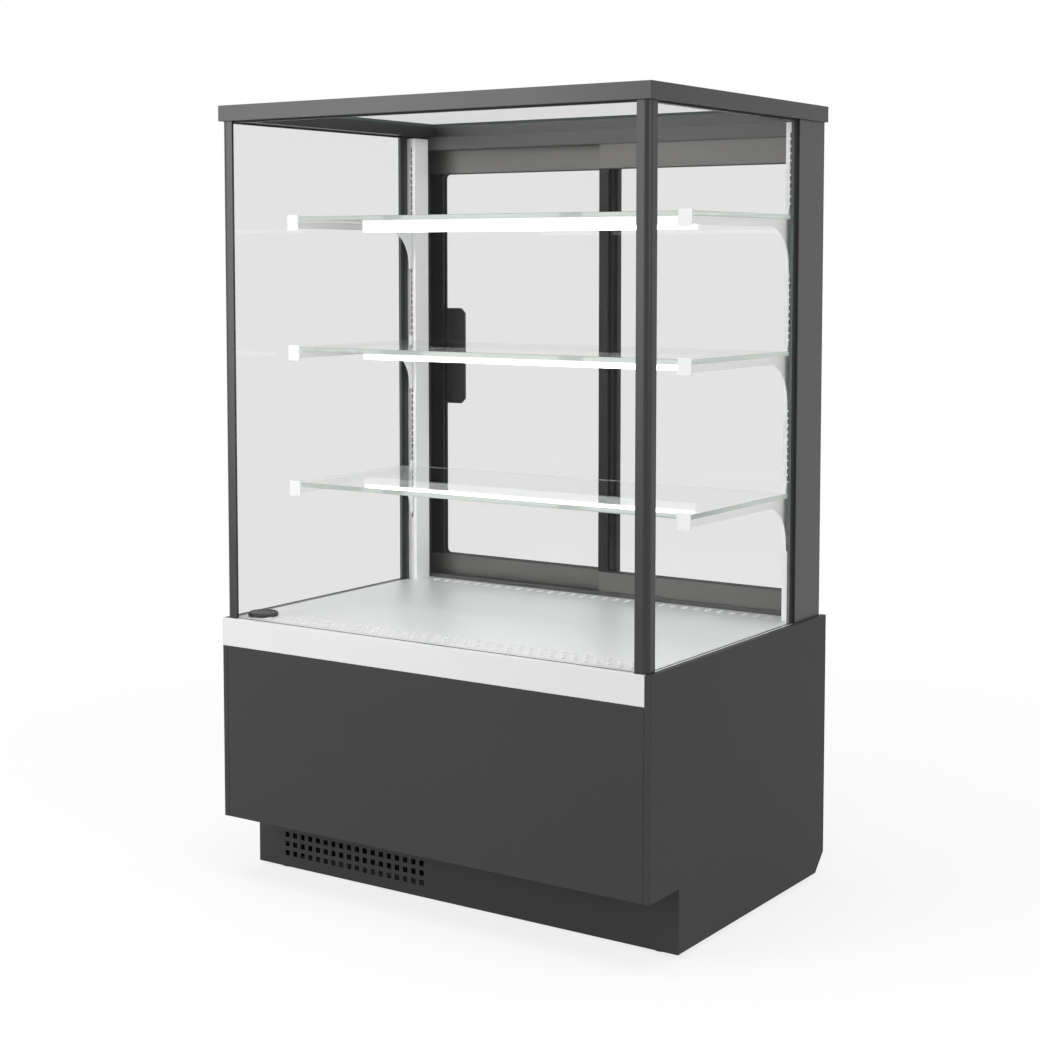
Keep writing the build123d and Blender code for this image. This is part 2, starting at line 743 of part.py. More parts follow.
# Shelf brackets: hooked plates with a curved gusset, a flanged arm and a lip at the front corner
arm_front = shelf_front - shelf_gap
heel_front = upright_front - bracket_heel
for side, hand in (("left", -1), ("right", 1)):
    with BuildPart() as shelf_brackets:
        for shelf_top in shelf_tops.values():
            underside = shelf_top - shelf_thickness
            heel_bottom = underside - bracket_drop
            arm_bottom = underside - arm_depth
            gusset_end = heel_front - gusset_length
            curve = 1 - math.cos(math.radians(45))
            with BuildSketch(Plane.YZ.offset(hand * slot_x - bracket_sheet / 2)):
                with BuildLine():
                    Polyline(
                        (heel_front, heel_bottom),
                        (upright_front, heel_bottom),
                        (upright_front, shelf_top + bracket_rise),
                        (heel_front, shelf_top + bracket_rise),
                        (heel_front, underside),
                        (arm_front, underside),
                        (arm_front, arm_bottom),
                        (gusset_end, arm_bottom),
                    )
                    ThreePointArc(
                        (gusset_end, arm_bottom),
                        (heel_front - gusset_length * curve,
                         arm_bottom - (arm_bottom - heel_bottom) * curve),
                        (heel_front, heel_bottom),
                    )
                make_face()
                for level in (0, -lower_hook_steps):
                    slot_foot = shelf_top + level * slot_pitch - bracket_slot_height / 2
                    neck_z = slot_foot + hook_gap + hook_neck / 2
                    hook_y = upright_front + upright_wall + hook_gap
                    with Locations((upright_front + hook_reach / 2, neck_z)):
                        Rectangle(hook_reach, hook_neck)
                    with Locations(((hook_y + upright_front + hook_reach) / 2, neck_z - hook_drop / 2)):
                        Rectangle(upright_front + hook_reach - hook_y, hook_neck + hook_drop)
            extrude(amount=bracket_sheet)
            block(mirrored(hand, slot_x - arm_flange, slot_x), (arm_front, heel_front),
                  (underside - bracket_sheet, underside))
            block(mirrored(hand, shelf_x - lip_width + shelf_gap, shelf_x + shelf_gap),
                  (arm_front - bracket_sheet, arm_front), (underside - lip_drop, shelf_top + lip_rise))
    shelf_brackets.part.label = f"shelf_brackets_{side}"
    export_step(shelf_brackets.part, f"parts/shelf_brackets_{side}.step")

# Glass shelves, each with a light bar glued under its middle
for number, shelf_top in shelf_tops.items():
    with BuildPart() as shelf_glass:
        block((-shelf_x, shelf_x), (shelf_front, shelf_rear), (shelf_top - shelf_thickness, shelf_top))
        fillet(shelf_glass.edges().filter_by(Axis.Z), radius=shelf_corner)
        flat_faces = shelf_glass.faces().filter_by(Axis.Z)
        chamfer(flat_faces.edges(), length=shelf_edge)
    shelf_glass.part.label = f"shelf_glass_{number}"
    export_step(shelf_glass.part, f"parts/shelf_glass_{number}.step")
    with BuildPart() as shelf_light:
        underside = shelf_top - shelf_thickness
        block((-lamp_half_length, lamp_half_length), (lamp_y - lamp_depth / 2, lamp_y + lamp_depth / 2),
              (underside - lamp_height, underside))
        long_edges = shelf_light.edges().filter_by(Axis.X).group_by(Axis.Z)[0]
        fillet(long_edges, radius=lamp_round)
        for end in (-1, 1):
            groove_x = end * (lamp_half_length - lamp_cap)
            block((groove_x - lamp_groove / 2, groove_x + lamp_groove / 2),
                  (lamp_y - lamp_depth / 2, lamp_y),
                  (underside - lamp_height, underside - lamp_height + lamp_groove), Mode.SUBTRACT)
    shelf_light.part.label = f"shelf_light_{number}"
    export_step(shelf_light.part, f"parts/shelf_light_{number}.step")

# Door tracks: two channels below and two above, between the jambs
lip_starts = [track_front + index * (track_lip + track_channel) for index in range(3)]
with BuildPart() as door_track_bottom:
    block((-jamb_x, jamb_x), (track_front, track_rear), (base_top, base_top + track_floor))
    for lip_start in lip_starts:
        block((-jamb_x, jamb_x), (lip_start, lip_start + track_lip),
              (base_top, base_top + track_floor + bottom_lip_height))
door_track_bottom.part.label = "door_track_bottom"
export_step(door_track_bottom.part, "parts/door_track_bottom.step")
with BuildPart() as door_track_top:
    block((-jamb_x, jamb_x), (track_front, track_rear), (roof_bottom - top_track_floor, roof_bottom))
    for lip_start in lip_starts:
        block((-jamb_x, jamb_x), (lip_start, lip_start + track_lip),
              (roof_bottom - top_track_floor - top_lip_height, roof_bottom))
door_track_top.part.label = "door_track_top"
export_step(door_track_top.part, "parts/door_track_top.step")

# Sliding doors: a frame round a pane; the right door runs inside the left one
doors = {
    "left": (-jamb_x + door_side_gap, left_door_meeting_x, far_channel_y, outer_stile, meeting_stile),
    "right": (right_door_meeting_x, jamb_x - door_side_gap, near_channel_y, meeting_stile, outer_stile),
}
handle_z = handle_bottom + handle_length / 2
flush_handle_x = jamb_x - door_side_gap - outer_stile / 2
for side, (left_x, right_x, middle_y, left_stile, right_stile) in doors.items():
    door_y = (middle_y - door_thickness / 2, middle_y + door_thickness / 2)
    window_x = (left_x + left_stile, right_x - right_stile)
    with BuildPart() as door_frame:
        block((left_x, right_x), door_y, (door_bottom, door_top))
        fillet(door_frame.edges().filter_by(Axis.Z), radius=door_round)
        window_centre = ((window_x[0] + window_x[1]) / 2, door_y[0], (window_bottom + window_top) / 2)
        with BuildSketch(Plane(origin=window_centre, x_dir=(1, 0, 0), z_dir=(0, -1, 0))):
            RectangleRounded(window_x[1] - window_x[0], window_top - window_bottom, window_round)
        extrude(amount=-door_thickness, mode=Mode.SUBTRACT)
        groove_y = door_glass_thickness / 2 + glazing_gap
        block((window_x[0] - glazing_depth, window_x[1] + glazing_depth),
              (middle_y - groove_y, middle_y + groove_y),
              (window_bottom - glazing_depth, window_top + glazing_depth), Mode.SUBTRACT)
        if side == "right":
            with BuildSketch(Plane(origin=(flush_handle_x, door_y[1], handle_z), x_dir=(1, 0, 0),
                                   z_dir=(0, -1, 0))):
                SlotOverall(finger_slot_length, finger_slot_width, rotation=90)
            extrude(amount=finger_pocket, mode=Mode.SUBTRACT)
    door_frame.part.label = f"door_{side}_frame"
    export_step(door_frame.part, f"parts/door_{side}_frame.step")
    with BuildPart() as door_glass:
        reach = glazing_depth - glazing_gap
        block((window_x[0] - reach, window_x[1] + reach),
              (middle_y - door_glass_thickness / 2, middle_y + door_glass_thickness / 2),
              (window_bottom - reach, window_top + reach))
    door_glass.part.label = f"door_{side}_glass"
    export_step(door_glass.part, f"parts/door_{side}_glass.step")

# Left door handle: an offset plate that leaves a finger gap over the glass
far_face_y = far_channel_y + door_thickness / 2
stile_edge_x = -jamb_x + door_side_gap + outer_stile
plate_y = far_face_y + handle_offset
with BuildPart() as door_left_handle:
    handle_span = (handle_bottom, handle_bottom + handle_length)
    block((stile_edge_x - handle_cover, stile_edge_x), (far_face_y, far_face_y + handle_sheet), handle_span)
    block((stile_edge_x - handle_sheet, stile_edge_x), (far_face_y, plate_y + handle_sheet), handle_span)
    block((stile_edge_x - handle_sheet, stile_edge_x + handle_reach), (plate_y, plate_y + handle_sheet),
          handle_span)
    free_corners = door_left_handle.edges().filter_by(Axis.Y).group_by(Axis.X)[-1]
    chamfer(free_corners, length=handle_corner)
door_left_handle.part.label = "door_left_handle"
export_step(door_left_handle.part, "parts/door_left_handle.step")

# Right door handle: a flush finger plate over a pocket in the stile
near_face_y = near_channel_y + door_thickness / 2
with BuildPart() as door_right_handle:
    with BuildSketch(Plane(origin=(flush_handle_x, near_face_y, handle_z), x_dir=(1, 0, 0),
                           z_dir=(0, -1, 0))):
        RectangleRounded(flush_plate_width, handle_length, flush_plate)
        SlotOverall(finger_slot_length, finger_slot_width, rotation=90, mode=Mode.SUBTRACT)
    extrude(amount=-flush_plate)
door_right_handle.part.label = "door_right_handle"
export_step(door_right_handle.part, "parts/door_right_handle.step")


def finned_coil(x, y, z, pitch, sheet, pipe_rows, pipe_columns):
    """A block of upright fins threaded on tubes along X, with thicker end plates."""
    count = int((x[1] - x[0]) / pitch)
    middle_x = (x[0] + x[1]) / 2
    middle_y = (y[0] + y[1]) / 2
    middle_z = (z[0] + z[1]) / 2
    fin_places = [(x[0] + index * (x[1] - x[0]) / count, middle_y, middle_z) for index in range(1, count)]
    with Locations(*fin_places):
        Box(sheet, y[1] - y[0], z[1] - z[0])
    step_y = (y[1] - y[0]) / pipe_columns
    step_z = (z[1] - z[0]) / pipe_rows
    pipe_places = [
        (middle_x, y[0] + (column + 0.5) * step_y, z[0] + (row + 0.5) * step_z)
        for column in range(pipe_columns)
        for row in range(pipe_rows)
    ]
    with Locations(*pipe_places):
        Cylinder(tube_radius, x[1] - x[0], rotation=(0, 90, 0))


def fan_wheel(centre, wheel, shaft_radius, shaft_length):
    """A hub with pitched blades and a shaft, turning about an axis along Y."""
    radius, hub_radius, hub_length, count, chord, sheet = wheel
    x, y, z = centre
    rod_y(x, z, hub_radius, (y - hub_length / 2, y + hub_length / 2))
    rod_y(x, z, shaft_radius, (y + hub_length / 2, y + hub_length / 2 + shaft_length))
    axis = Location(Plane(origin=centre, x_dir=(1, 0, 0), z_dir=(0, 1, 0)))
    root = hub_radius / 2
    for index in range(count):
        turn = Location((0, 0, 0), (0, 0, index * 360 / count))
        blade = Location(((root + radius) / 2, 0, 0), (fan_blade_pitch, 0, 0))
        with Locations(axis * turn * blade):
            Box(radius - root, chord, sheet)


# Condenser: finned coil behind the intake holes, on two end plates
coil_left = coil_x - coil_half_width
coil_right = coil_x + coil_half_width
coil_rear = coil_front + coil_depth
with BuildPart() as condenser_coil:
    finned_coil((coil_left, coil_right), (coil_front, coil_rear), (coil_bottom, coil_top), fin_pitch,
                fin_sheet, 6, 2)
    for plate_x in (coil_left, coil_right - coil_end_plate):
        block((plate_x, plate_x + coil_end_plate), (coil_front, coil_rear), (tray_top, coil_top))
condenser_coil.part.label = "condenser_coil"
export_step(condenser_coil.part, "parts/condenser_coil.step")

# Condenser fan: shroud with the motor on four arms, and the blades
fan_z = (coil_bottom + coil_top) / 2
shroud_rear = coil_rear + shroud_depth
motor_front = shroud_rear + motor_standoff
with BuildPart() as condenser_fan_shroud:
    block((coil_left, coil_right), (coil_rear, shroud_rear), (tray_top, coil_top))
    block((coil_left + shroud_sheet, coil_right - shroud_sheet), (coil_rear, shroud_rear - shroud_sheet),
          (coil_bottom, coil_top - shroud_sheet), Mode.SUBTRACT)
    rod_y(coil_x, fan_z, fan_radius + fan_gap, (shroud_rear - shroud_sheet, shroud_rear), Mode.SUBTRACT)
    arm_reach = fan_radius + fan_gap + motor_arm
    for along, across in ((arm_reach, motor_arm / 2), (motor_arm / 2, arm_reach)):
        block((coil_x - along, coil_x + along), (shroud_rear, motor_front),
              (fan_z - across, fan_z + across))
    rod_y(coil_x, fan_z, motor_radius, (shroud_rear, motor_front + motor_length))
    rod_y(coil_x, fan_z, fan_shaft_radius + shaft_clearance, (shroud_rear, motor_front + motor_length / 2),
          Mode.SUBTRACT)
condenser_fan_shroud.part.label = "condenser_fan_shroud"
export_step(condenser_fan_shroud.part, "parts/condenser_fan_shroud.step")
fan_y = shroud_rear - shroud_sheet - fan_hub_length / 2
condenser_wheel = (fan_radius, fan_hub_radius, fan_hub_length, fan_blade_count, fan_blade_chord,
                   fan_blade_sheet)
with BuildPart() as condenser_fan_blades:
    fan_wheel((coil_x, fan_y, fan_z), condenser_wheel, fan_shaft_radius, motor_length / 2)
condenser_fan_blades.part.label = "condenser_fan_blades"
export_step(condenser_fan_blades.part, "parts/condenser_fan_blades.step")

# Compressor: domed can with a terminal cover, on a plate with four grommets
with BuildPart() as compressor:
    with BuildSketch(Plane.XY.offset(can_z)):
        with Locations((compressor_x, compressor_y)):
            Circle(compressor_radius)
    extrude(amount=can_top - can_z)
    fillet(compressor.faces().sort_by(Axis.Z)[-1].edges(), radius=compressor_dome)
    block((compressor_x - compressor_foot / 2, compressor_x + compressor_foot / 2),
          (compressor_y - compressor_foot / 2, compressor_y + compressor_foot / 2), (plate_z, can_z))
    with BuildSketch(Plane.XY.offset(tray_top)):
        with Locations((compressor_x, compressor_y)):
            with GridLocations(compressor_foot - grommet_inset, compressor_foot - grommet_inset, 2, 2):
                Circle(grommet_radius)
    extrude(amount=grommet_height)
    block((compressor_x + compressor_radius - terminal_depth / 2,
           compressor_x + compressor_radius + terminal_depth / 2),
          (compressor_y - terminal_width / 2, compressor_y + terminal_width / 2),
          (can_z + terminal_lift, can_z + terminal_lift + terminal_width))
compressor.part.label = "compressor"
export_step(compressor.part, "parts/compressor.step")

# Copper pipes: compressor to condenser, and compressor up into the well
pipe_x = compressor_x + compressor_top_reach
pipe_y = (coil_front + coil_rear) / 2
pipe_top = coil_top - pipe_drop
with BuildPart() as refrigerant_pipes:
    with BuildLine():
        FilletPolyline((pipe_x, compressor_y, can_top), (pipe_x, compressor_y, pipe_top),
                       (pipe_x, pipe_y, pipe_top),
                       (coil_right, pipe_y, pipe_top), radius=pipe_bend)
    with BuildSketch(Plane((pipe_x, compressor_y, can_top))):
        Circle(pipe_radius)
    sweep()
    with BuildSketch(Plane((compressor_x - compressor_top_reach, compressor_y, can_top))):
        Circle(pipe_radius)
    extrude(amount=well_bottom - can_top)
refrigerant_pipes.part.label = "refrigerant_pipes"
export_step(refrigerant_pipes.part, "parts/refrigerant_pipes.step")

# Evaporator: finned coil on the floor of the well
evaporator_x = (-evaporator_half_width, evaporator_half_width)
with BuildPart() as evaporator_coil:
    finned_coil(evaporator_x, (evaporator_front, evaporator_rear),
                (well_floor + coil_lift, well_floor + evaporator_height), evaporator_fin_pitch,
                fin_sheet, 3, 3)
    for plate_x in (evaporator_x[0], evaporator_x[1] - coil_end_plate):
        block((plate_x, plate_x + coil_end_plate), (evaporator_front, evaporator_rear),
              (well_floor, well_floor + evaporator_height))
evaporator_coil.part.label = "evaporator_coil"
export_step(evaporator_coil.part, "parts/evaporator_coil.step")

# Evaporator fan: upright panel with the motor on two arms, and the blades
blower_hole = blower_radius + blower_gap
panel_rear = blower_panel_y + deck_sheet
with BuildPart() as evaporator_fan_panel:
    block((-blower_panel_half_width, blower_panel_half_width), (blower_panel_y, panel_rear),
          (well_floor, well_ledge))
    block((-blower_panel_half_width, blower_panel_half_width), (panel_rear, panel_rear + panel_foot),
          (well_floor, well_floor + deck_sheet))
    rod_y(0, blower_z, blower_hole, (blower_panel_y, panel_rear), Mode.SUBTRACT)
    block((-blower_hole - motor_arm, blower_hole + motor_arm), (panel_rear, panel_rear + blower_arm),
          (blower_z - motor_arm / 2, blower_z + motor_arm / 2))
    rod_y(0, blower_z, blower_motor_radius, (panel_rear, panel_rear + blower_arm + blower_motor_length))
    rod_y(0, blower_z, blower_shaft_radius + shaft_clearance,
          (panel_rear, panel_rear + blower_motor_length),
          Mode.SUBTRACT)
evaporator_fan_panel.part.label = "evaporator_fan_panel"
export_step(evaporator_fan_panel.part, "parts/evaporator_fan_panel.step")
blower_wheel = (blower_radius, blower_hub_radius, blower_hub_length, blower_blade_count, blower_blade_chord,
                fan_blade_sheet)
blower_y = blower_panel_y - blower_hub_length / 2
with BuildPart() as evaporator_fan_blades:
    fan_wheel((0, blower_y, blower_z), blower_wheel, blower_shaft_radius,
              blower_motor_length / 2 + deck_sheet)
evaporator_fan_blades.part.label = "evaporator_fan_blades"
export_step(evaporator_fan_blades.part, "parts/evaporator_fan_blades.step")

# Control panel: bezel with a controller body, two button bores and two rocker housings
plate_rear = sill_rear + control_plate
body_front = sill_rear - control_body_depth
button_x = controller_x + control_body_width / 2 - button_inset
button_levels = {"up": control_z + button_pitch / 2, "down": control_z - button_pitch / 2}
bore_front = plate_rear - button_length - button_travel_room
rocker_places = {"power_switch": rocker_first_x, "light_switch": rocker_first_x + rocker_pitch}
pocket_y = sill_rear - rocker_pocket
pocket_x = rocker_width / 2 + rocker_gap
pocket_z = rocker_height / 2 + rocker_gap
with BuildPart() as control_panel:
    block((control_x - control_width / 2, control_x + control_width / 2), (sill_rear, plate_rear),
          (control_z - control_height / 2, control_z + control_height / 2))
    bezel_edges = control_panel.faces().sort_by(Axis.Y)[-1].edges()
    fillet(bezel_edges, radius=control_round)
    block((controller_x - control_body_width / 2, controller_x + control_body_width / 2),
          (body_front, sill_rear),
          (control_z - control_body_height / 2, control_z + control_body_height / 2))
    block((controller_x - display_width / 2 - display_shift,
           controller_x + display_width / 2 - display_shift),
          (plate_rear - display_recess, plate_rear),
          (control_z - display_height / 2, control_z + display_height / 2),
          Mode.SUBTRACT)
    for level in button_levels.values():
        rod_y(button_x, level, button_radius + button_gap, (bore_front, plate_rear), Mode.SUBTRACT)
    for place in rocker_places.values():
        block((place - pocket_x - rocker_case, place + pocket_x + rocker_case),
              (pocket_y - rocker_case, sill_rear),
              (control_z - pocket_z - rocker_case, control_z + pocket_z + rocker_case))
        block((place - pocket_x, place + pocket_x), (pocket_y, plate_rear),
              (control_z - pocket_z, control_z + pocket_z), Mode.SUBTRACT)
        with BuildSketch(Plane.YZ.offset(place - pocket_x - rocker_pin_reach)):
            with Locations((sill_rear, control_z)):
                Circle(rocker_pin_radius + shaft_clearance)
        extrude(amount=2 * (pocket_x + rocker_pin_reach), mode=Mode.SUBTRACT)
control_panel.part.label = "control_panel"
export_step(control_panel.part, "parts/control_panel.step")

# Controller buttons: domed plungers, up above down
for name, level in button_levels.items():
    with BuildPart() as controller_button:
        rod_y(button_x, level, button_radius,
              (plate_rear + button_proud - button_length, plate_rear + button_proud))
        chamfer(controller_button.faces().sort_by(Axis.Y)[-1].edges(), length=button_edge)
    controller_button.part.label = f"controller_button_{name}"
    export_step(controller_button.part, f"parts/controller_button_{name}.step")

# Rocker switches: a tilted rocker on a cross pin
for name, place in rocker_places.items():
    with BuildPart() as rocker:
        with BuildSketch(Plane.YZ.offset(place - rocker_width / 2)):
            with Locations((sill_rear, control_z)):
                Rectangle(rocker_thickness, rocker_height, rotation=rocker_tilt)
        extrude(amount=rocker_width)
        with BuildSketch(Plane.YZ.offset(place - pocket_x - rocker_pin_reach + shaft_clearance)):
            with Locations((sill_rear, control_z)):
                Circle(rocker_pin_radius)
        extrude(amount=2 * (pocket_x + rocker_pin_reach - shaft_clearance))
    rocker.part.label = name
    export_step(rocker.part, f"parts/{name}.step")

# Cable gland: hexagon outside, thread through the panel, lock nut inside
with BuildPart() as cable_gland:
    gland_plane = Plane(origin=(gland_x, sill_rear, gland_z), x_dir=(1, 0, 0), z_dir=(0, 1, 0))
    with BuildSketch(gland_plane):
        RegularPolygon(gland_nut_radius, 6)
    extrude(amount=gland_hex)
    rod_y(gland_x, gland_z, gland_thread_radius, (tray_rear - gland_hex, sill_rear))
    with BuildSketch(gland_plane.offset(-sill_sheet)):
        RegularPolygon(gland_nut_radius, 6)
    extrude(amount=-gland_hex)
    rod_y(gland_x, gland_z, gland_bore, (tray_rear - gland_hex, sill_rear + gland_hex), Mode.SUBTRACT)
cable_gland.part.label = "cable_gland"
export_step(cable_gland.part, "parts/cable_gland.step")
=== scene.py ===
import math

import bmesh
import bpy
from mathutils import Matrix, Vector


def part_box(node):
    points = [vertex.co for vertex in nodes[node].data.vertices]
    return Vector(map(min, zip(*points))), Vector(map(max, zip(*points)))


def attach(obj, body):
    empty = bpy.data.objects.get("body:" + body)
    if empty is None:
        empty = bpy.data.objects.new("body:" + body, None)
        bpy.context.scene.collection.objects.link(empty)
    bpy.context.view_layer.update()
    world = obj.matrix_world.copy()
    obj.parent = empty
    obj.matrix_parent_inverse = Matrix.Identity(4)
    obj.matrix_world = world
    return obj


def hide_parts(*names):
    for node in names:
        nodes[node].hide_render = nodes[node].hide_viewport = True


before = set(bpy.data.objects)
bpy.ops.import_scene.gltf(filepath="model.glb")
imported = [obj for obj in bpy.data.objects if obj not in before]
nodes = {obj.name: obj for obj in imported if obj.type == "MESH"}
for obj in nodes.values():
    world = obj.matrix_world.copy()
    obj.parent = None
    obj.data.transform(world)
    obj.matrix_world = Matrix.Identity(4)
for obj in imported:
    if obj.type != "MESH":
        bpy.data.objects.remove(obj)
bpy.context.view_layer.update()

# Camera.
# A camera at chest height, in front of the case and to its right.
# It tips down a little and is shifted a little, so that the upright posts stay nearly parallel.
eye = bpy.data.cameras.new("eye_camera")
eye.sensor_width = 36.0
eye.lens = 67.171
eye.shift_y = -0.11
eye.clip_start = 0.05
eye.clip_end = 200.0
eye_object = bpy.data.objects.new("eye_camera", eye)
eye_object.location = (1.9558, -2.9152, 1.1340)
eye_object.rotation_euler = (math.radians(90 - 4.304), 0, math.radians(34.021))
bpy.context.scene.collection.objects.link(eye_object)
bpy.context.scene.camera = eye_object
bpy.context.scene.view_settings.view_transform = "Standard"


# Studio floor and backdrop.
# A pale seamless floor that runs out into a white backdrop.
# The floor keeps the soft shadow of the case, and lens, gloss and glass see it as white.
class Wire:
    """An output socket that adds, multiplies and compares like a number."""

    def __init__(self, finish, socket):
        self.finish = finish
        self.socket = socket

    def __add__(self, other):
        return self.finish.reckon("ADD", self, other)

    def __radd__(self, other):
        return self.finish.reckon("ADD", other, self)

    def __sub__(self, other):
        return self.finish.reckon("SUBTRACT", self, other)

    def __rsub__(self, other):
        return self.finish.reckon("SUBTRACT", other, self)

    def __mul__(self, other):
        return self.finish.reckon("MULTIPLY", self, other)

    def __rmul__(self, other):
        return self.finish.reckon("MULTIPLY", other, self)

    def __pow__(self, other):
        return self.finish.reckon("POWER", self, other)

    def __gt__(self, other):
        return self.finish.reckon("GREATER_THAN", self, other)

    def __lt__(self, other):
        return self.finish.reckon("LESS_THAN", self, other)


class Finish:
    """The node tree of one surface finish."""

    def __init__(self, name, owner=None):
        self.owner = owner or bpy.data.materials.new(name)
        self.owner.use_nodes = True
        self.tree = self.owner.node_tree
        self.tree.nodes.clear()

    def node(self, kind, settings=None, sockets=None, out=0):
        """One node: its settings are set first, then its sockets get values or links."""
        made = self.tree.nodes.new("ShaderNode" + kind)
        for key, value in (settings or {}).items():
            setattr(made, key, value)
        for key, value in (sockets or {}).items():
            if isinstance(value, Wire):
                self.tree.links.new(value.socket, made.inputs[key])
            else:
                made.inputs[key].default_value = value
        return Wire(self, made.outputs[out])

    def reckon(self, operation, *parts):
        """One Math node on numbers and sockets."""
        return self.node("Math", {"operation": operation}, dict(enumerate(parts)))

    def mix(self, factor, first, second):
        return self.node("Mix", {"data_type": "RGBA"}, {0: factor, 6: first, 7: second}, out=2)

    def noise(self, place, scale, detail=2.0, roughness=0.5):
        return self.node("TexNoise", {}, {"Vector": place, "Scale": scale, "Detail": detail,
                                          "Roughness": roughness})

    def end(self, surface, kind="OutputMaterial"):
        made = self.tree.nodes.new("ShaderNode" + kind)
        self.tree.links.new(surface.socket, made.inputs["Surface"])
        return self.owner


def rgba(red, green, blue):
    return (red, green, blue, 1.0)


def seen_directly(finish):
    """1 for the rays of the lens, of gloss and of glass, 0 for light that falls on things."""
    path = "LightPath"
    lens = finish.node(path, out="Is Camera Ray")
    gloss = finish.node(path, out="Is Glossy Ray")
    glass = finish.node(path, out="Is Transmission Ray")
    return finish.reckon("MAXIMUM", finish.reckon("MAXIMUM", lens, gloss), glass)


FLOOR_REACH = 60.0
floor_mesh = bpy.data.meshes.new("studio_floor")
floor_mesh.from_pydata([(-FLOOR_REACH, -FLOOR_REACH, 0), (FLOOR_REACH, -FLOOR_REACH, 0),
                        (FLOOR_REACH, FLOOR_REACH, 0), (-FLOOR_REACH, FLOOR_REACH, 0)], [], [(0, 1, 2, 3)])
floor_object = bpy.data.objects.new("studio_floor", floor_mesh)
bpy.context.scene.collection.objects.link(floor_object)
floor = Finish("studio_floor")
floor_place = floor.node("TexCoord", out="Object")
floor_radius = floor.node("VectorMath", {"operation": "LENGTH"}, {0: floor_place}, out="Value")
floor_fade = floor.node("MapRange", {"interpolation_type": "SMOOTHSTEP"},
                        {"Value": floor_radius, "From Min": 0.8, "From Max": 2.4,
                         "To Min": 0.78, "To Max": 1.0})
floor_matte = floor.node("BsdfDiffuse", {}, {"Color": rgba(0.86, 0.86, 0.86)})
floor_white = floor.node("Emission", {}, {"Color": rgba(1, 1, 1), "Strength": 1.0})
floor_mesh.materials.append(floor.end(floor.node(
    "MixShader", {}, {0: seen_directly(floor) * floor_fade, 1: floor_matte, 2: floor_white})))

world = bpy.data.worlds.new("studio_backdrop")
bpy.context.scene.world = world
backdrop = Finish("studio_backdrop", world)
backdrop_white = backdrop.node("Background", {}, {"Color": rgba(1, 1, 1), "Strength": 1.0})
backdrop_light = backdrop.node("Background", {}, {"Color": rgba(1, 1, 1), "Strength": 0.55})
backdrop.end(backdrop.node("MixShader", {}, {0: seen_directly(backdrop), 1: backdrop_light,
                                             2: backdrop_white}), "OutputWorld")

# Studio lamps.
# Three soft boxes: a broad one overhead, a tall one to the front left, and one on the right.
# They light every piece but the clear panes, which would mirror them as hard white squares.
skipped_panes = bpy.data.collections.new("panes_the_boxes_skip")
for lamp_name, lamp_place, lamp_target, lamp_size, lamp_power in (
        ("overhead_box", (0.2, -0.4, 3.6), (0, 0, 0.9), (2.8, 2.2), 65.0),
        ("front_left_box", (-2.3, -3.3, 1.95), (0, 0, 1.2), (1.9, 3.0), 95.0),
        ("right_box", (3.4, -0.9, 1.9), (0, 0, 0.8), (1.4, 2.0), 25.0)):
    lamp = bpy.data.lights.new(lamp_name, "AREA")
    lamp.shape = "RECTANGLE"
    lamp.size, lamp.size_y = lamp_size
    lamp.energy = lamp_power
    lamp_object = bpy.data.objects.new(lamp_name, lamp)
    from_lamp = Vector(lamp_target) - Vector(lamp_place)
    lamp_object.rotation_euler = from_lamp.to_track_quat("-Z", "Y").to_euler()
    lamp_object.location = lamp_place
    lamp_object.light_linking.receiver_collection = skipped_panes
    bpy.context.scene.collection.objects.link(lamp_object)


# Painted steel body and glass frame.
# Folded sheet of the base and extruded rails and posts of the glass frame, with the door tracks.
# Charcoal and black powder coat, baked on: a fine orange-peel skin, a little lighter on rubbed edges.
def wearing_edges(finish, reach):
    """How far the surface turns within reach of a point: 0 on flats, 1 on sharp corners."""
    rounded = finish.node("Bevel", {"samples": 4}, {"Radius": reach})
    flat = finish.node("NewGeometry", out="Normal")
    turn = finish.node("VectorMath", {"operation": "DOT_PRODUCT"}, {0: rounded, 1: flat}, out="Value")
    return finish.node("MapRange", {}, {"Value": 1.0 - turn, "From Min": 0.02, "From Max": 0.25}), rounded


def powder_coat(name, shade, worn_shade, roughness, specular, edge=0.0012):
    coat = Finish(name)
    place = coat.node("TexCoord", out="Object")
    wear, rounded = wearing_edges(coat, edge)
    cloud = coat.noise(place, 3.5, 3.0)
    speck = coat.noise(place, 420.0, 2.0)
    peel = coat.noise(place, 900.0, 1.0)
    body = coat.mix(cloud, rgba(*(0.94 * c for c in shade)), rgba(*(1.06 * c for c in shade)))
    colour = coat.mix(wear * speck * 0.8, body, rgba(*worn_shade))
    bump = coat.node("Bump", {}, {"Height": peel, "Strength": 0.05, "Distance": 0.0002, "Normal": rounded})
    surface = coat.node("BsdfPrincipled", {}, {
        "Base Color": colour, "Roughness": roughness + cloud * 0.06 + speck * 0.05 - 0.05,
        "Normal": bump, "Specular IOR Level": specular})
    return coat.end(surface)


def finish_nodes(material, *names):
    """Gives these carried-over parts the finish on every material slot."""
    for name in names:
        slots = nodes[name].data.materials
        slots.clear()
        slots.append(material)


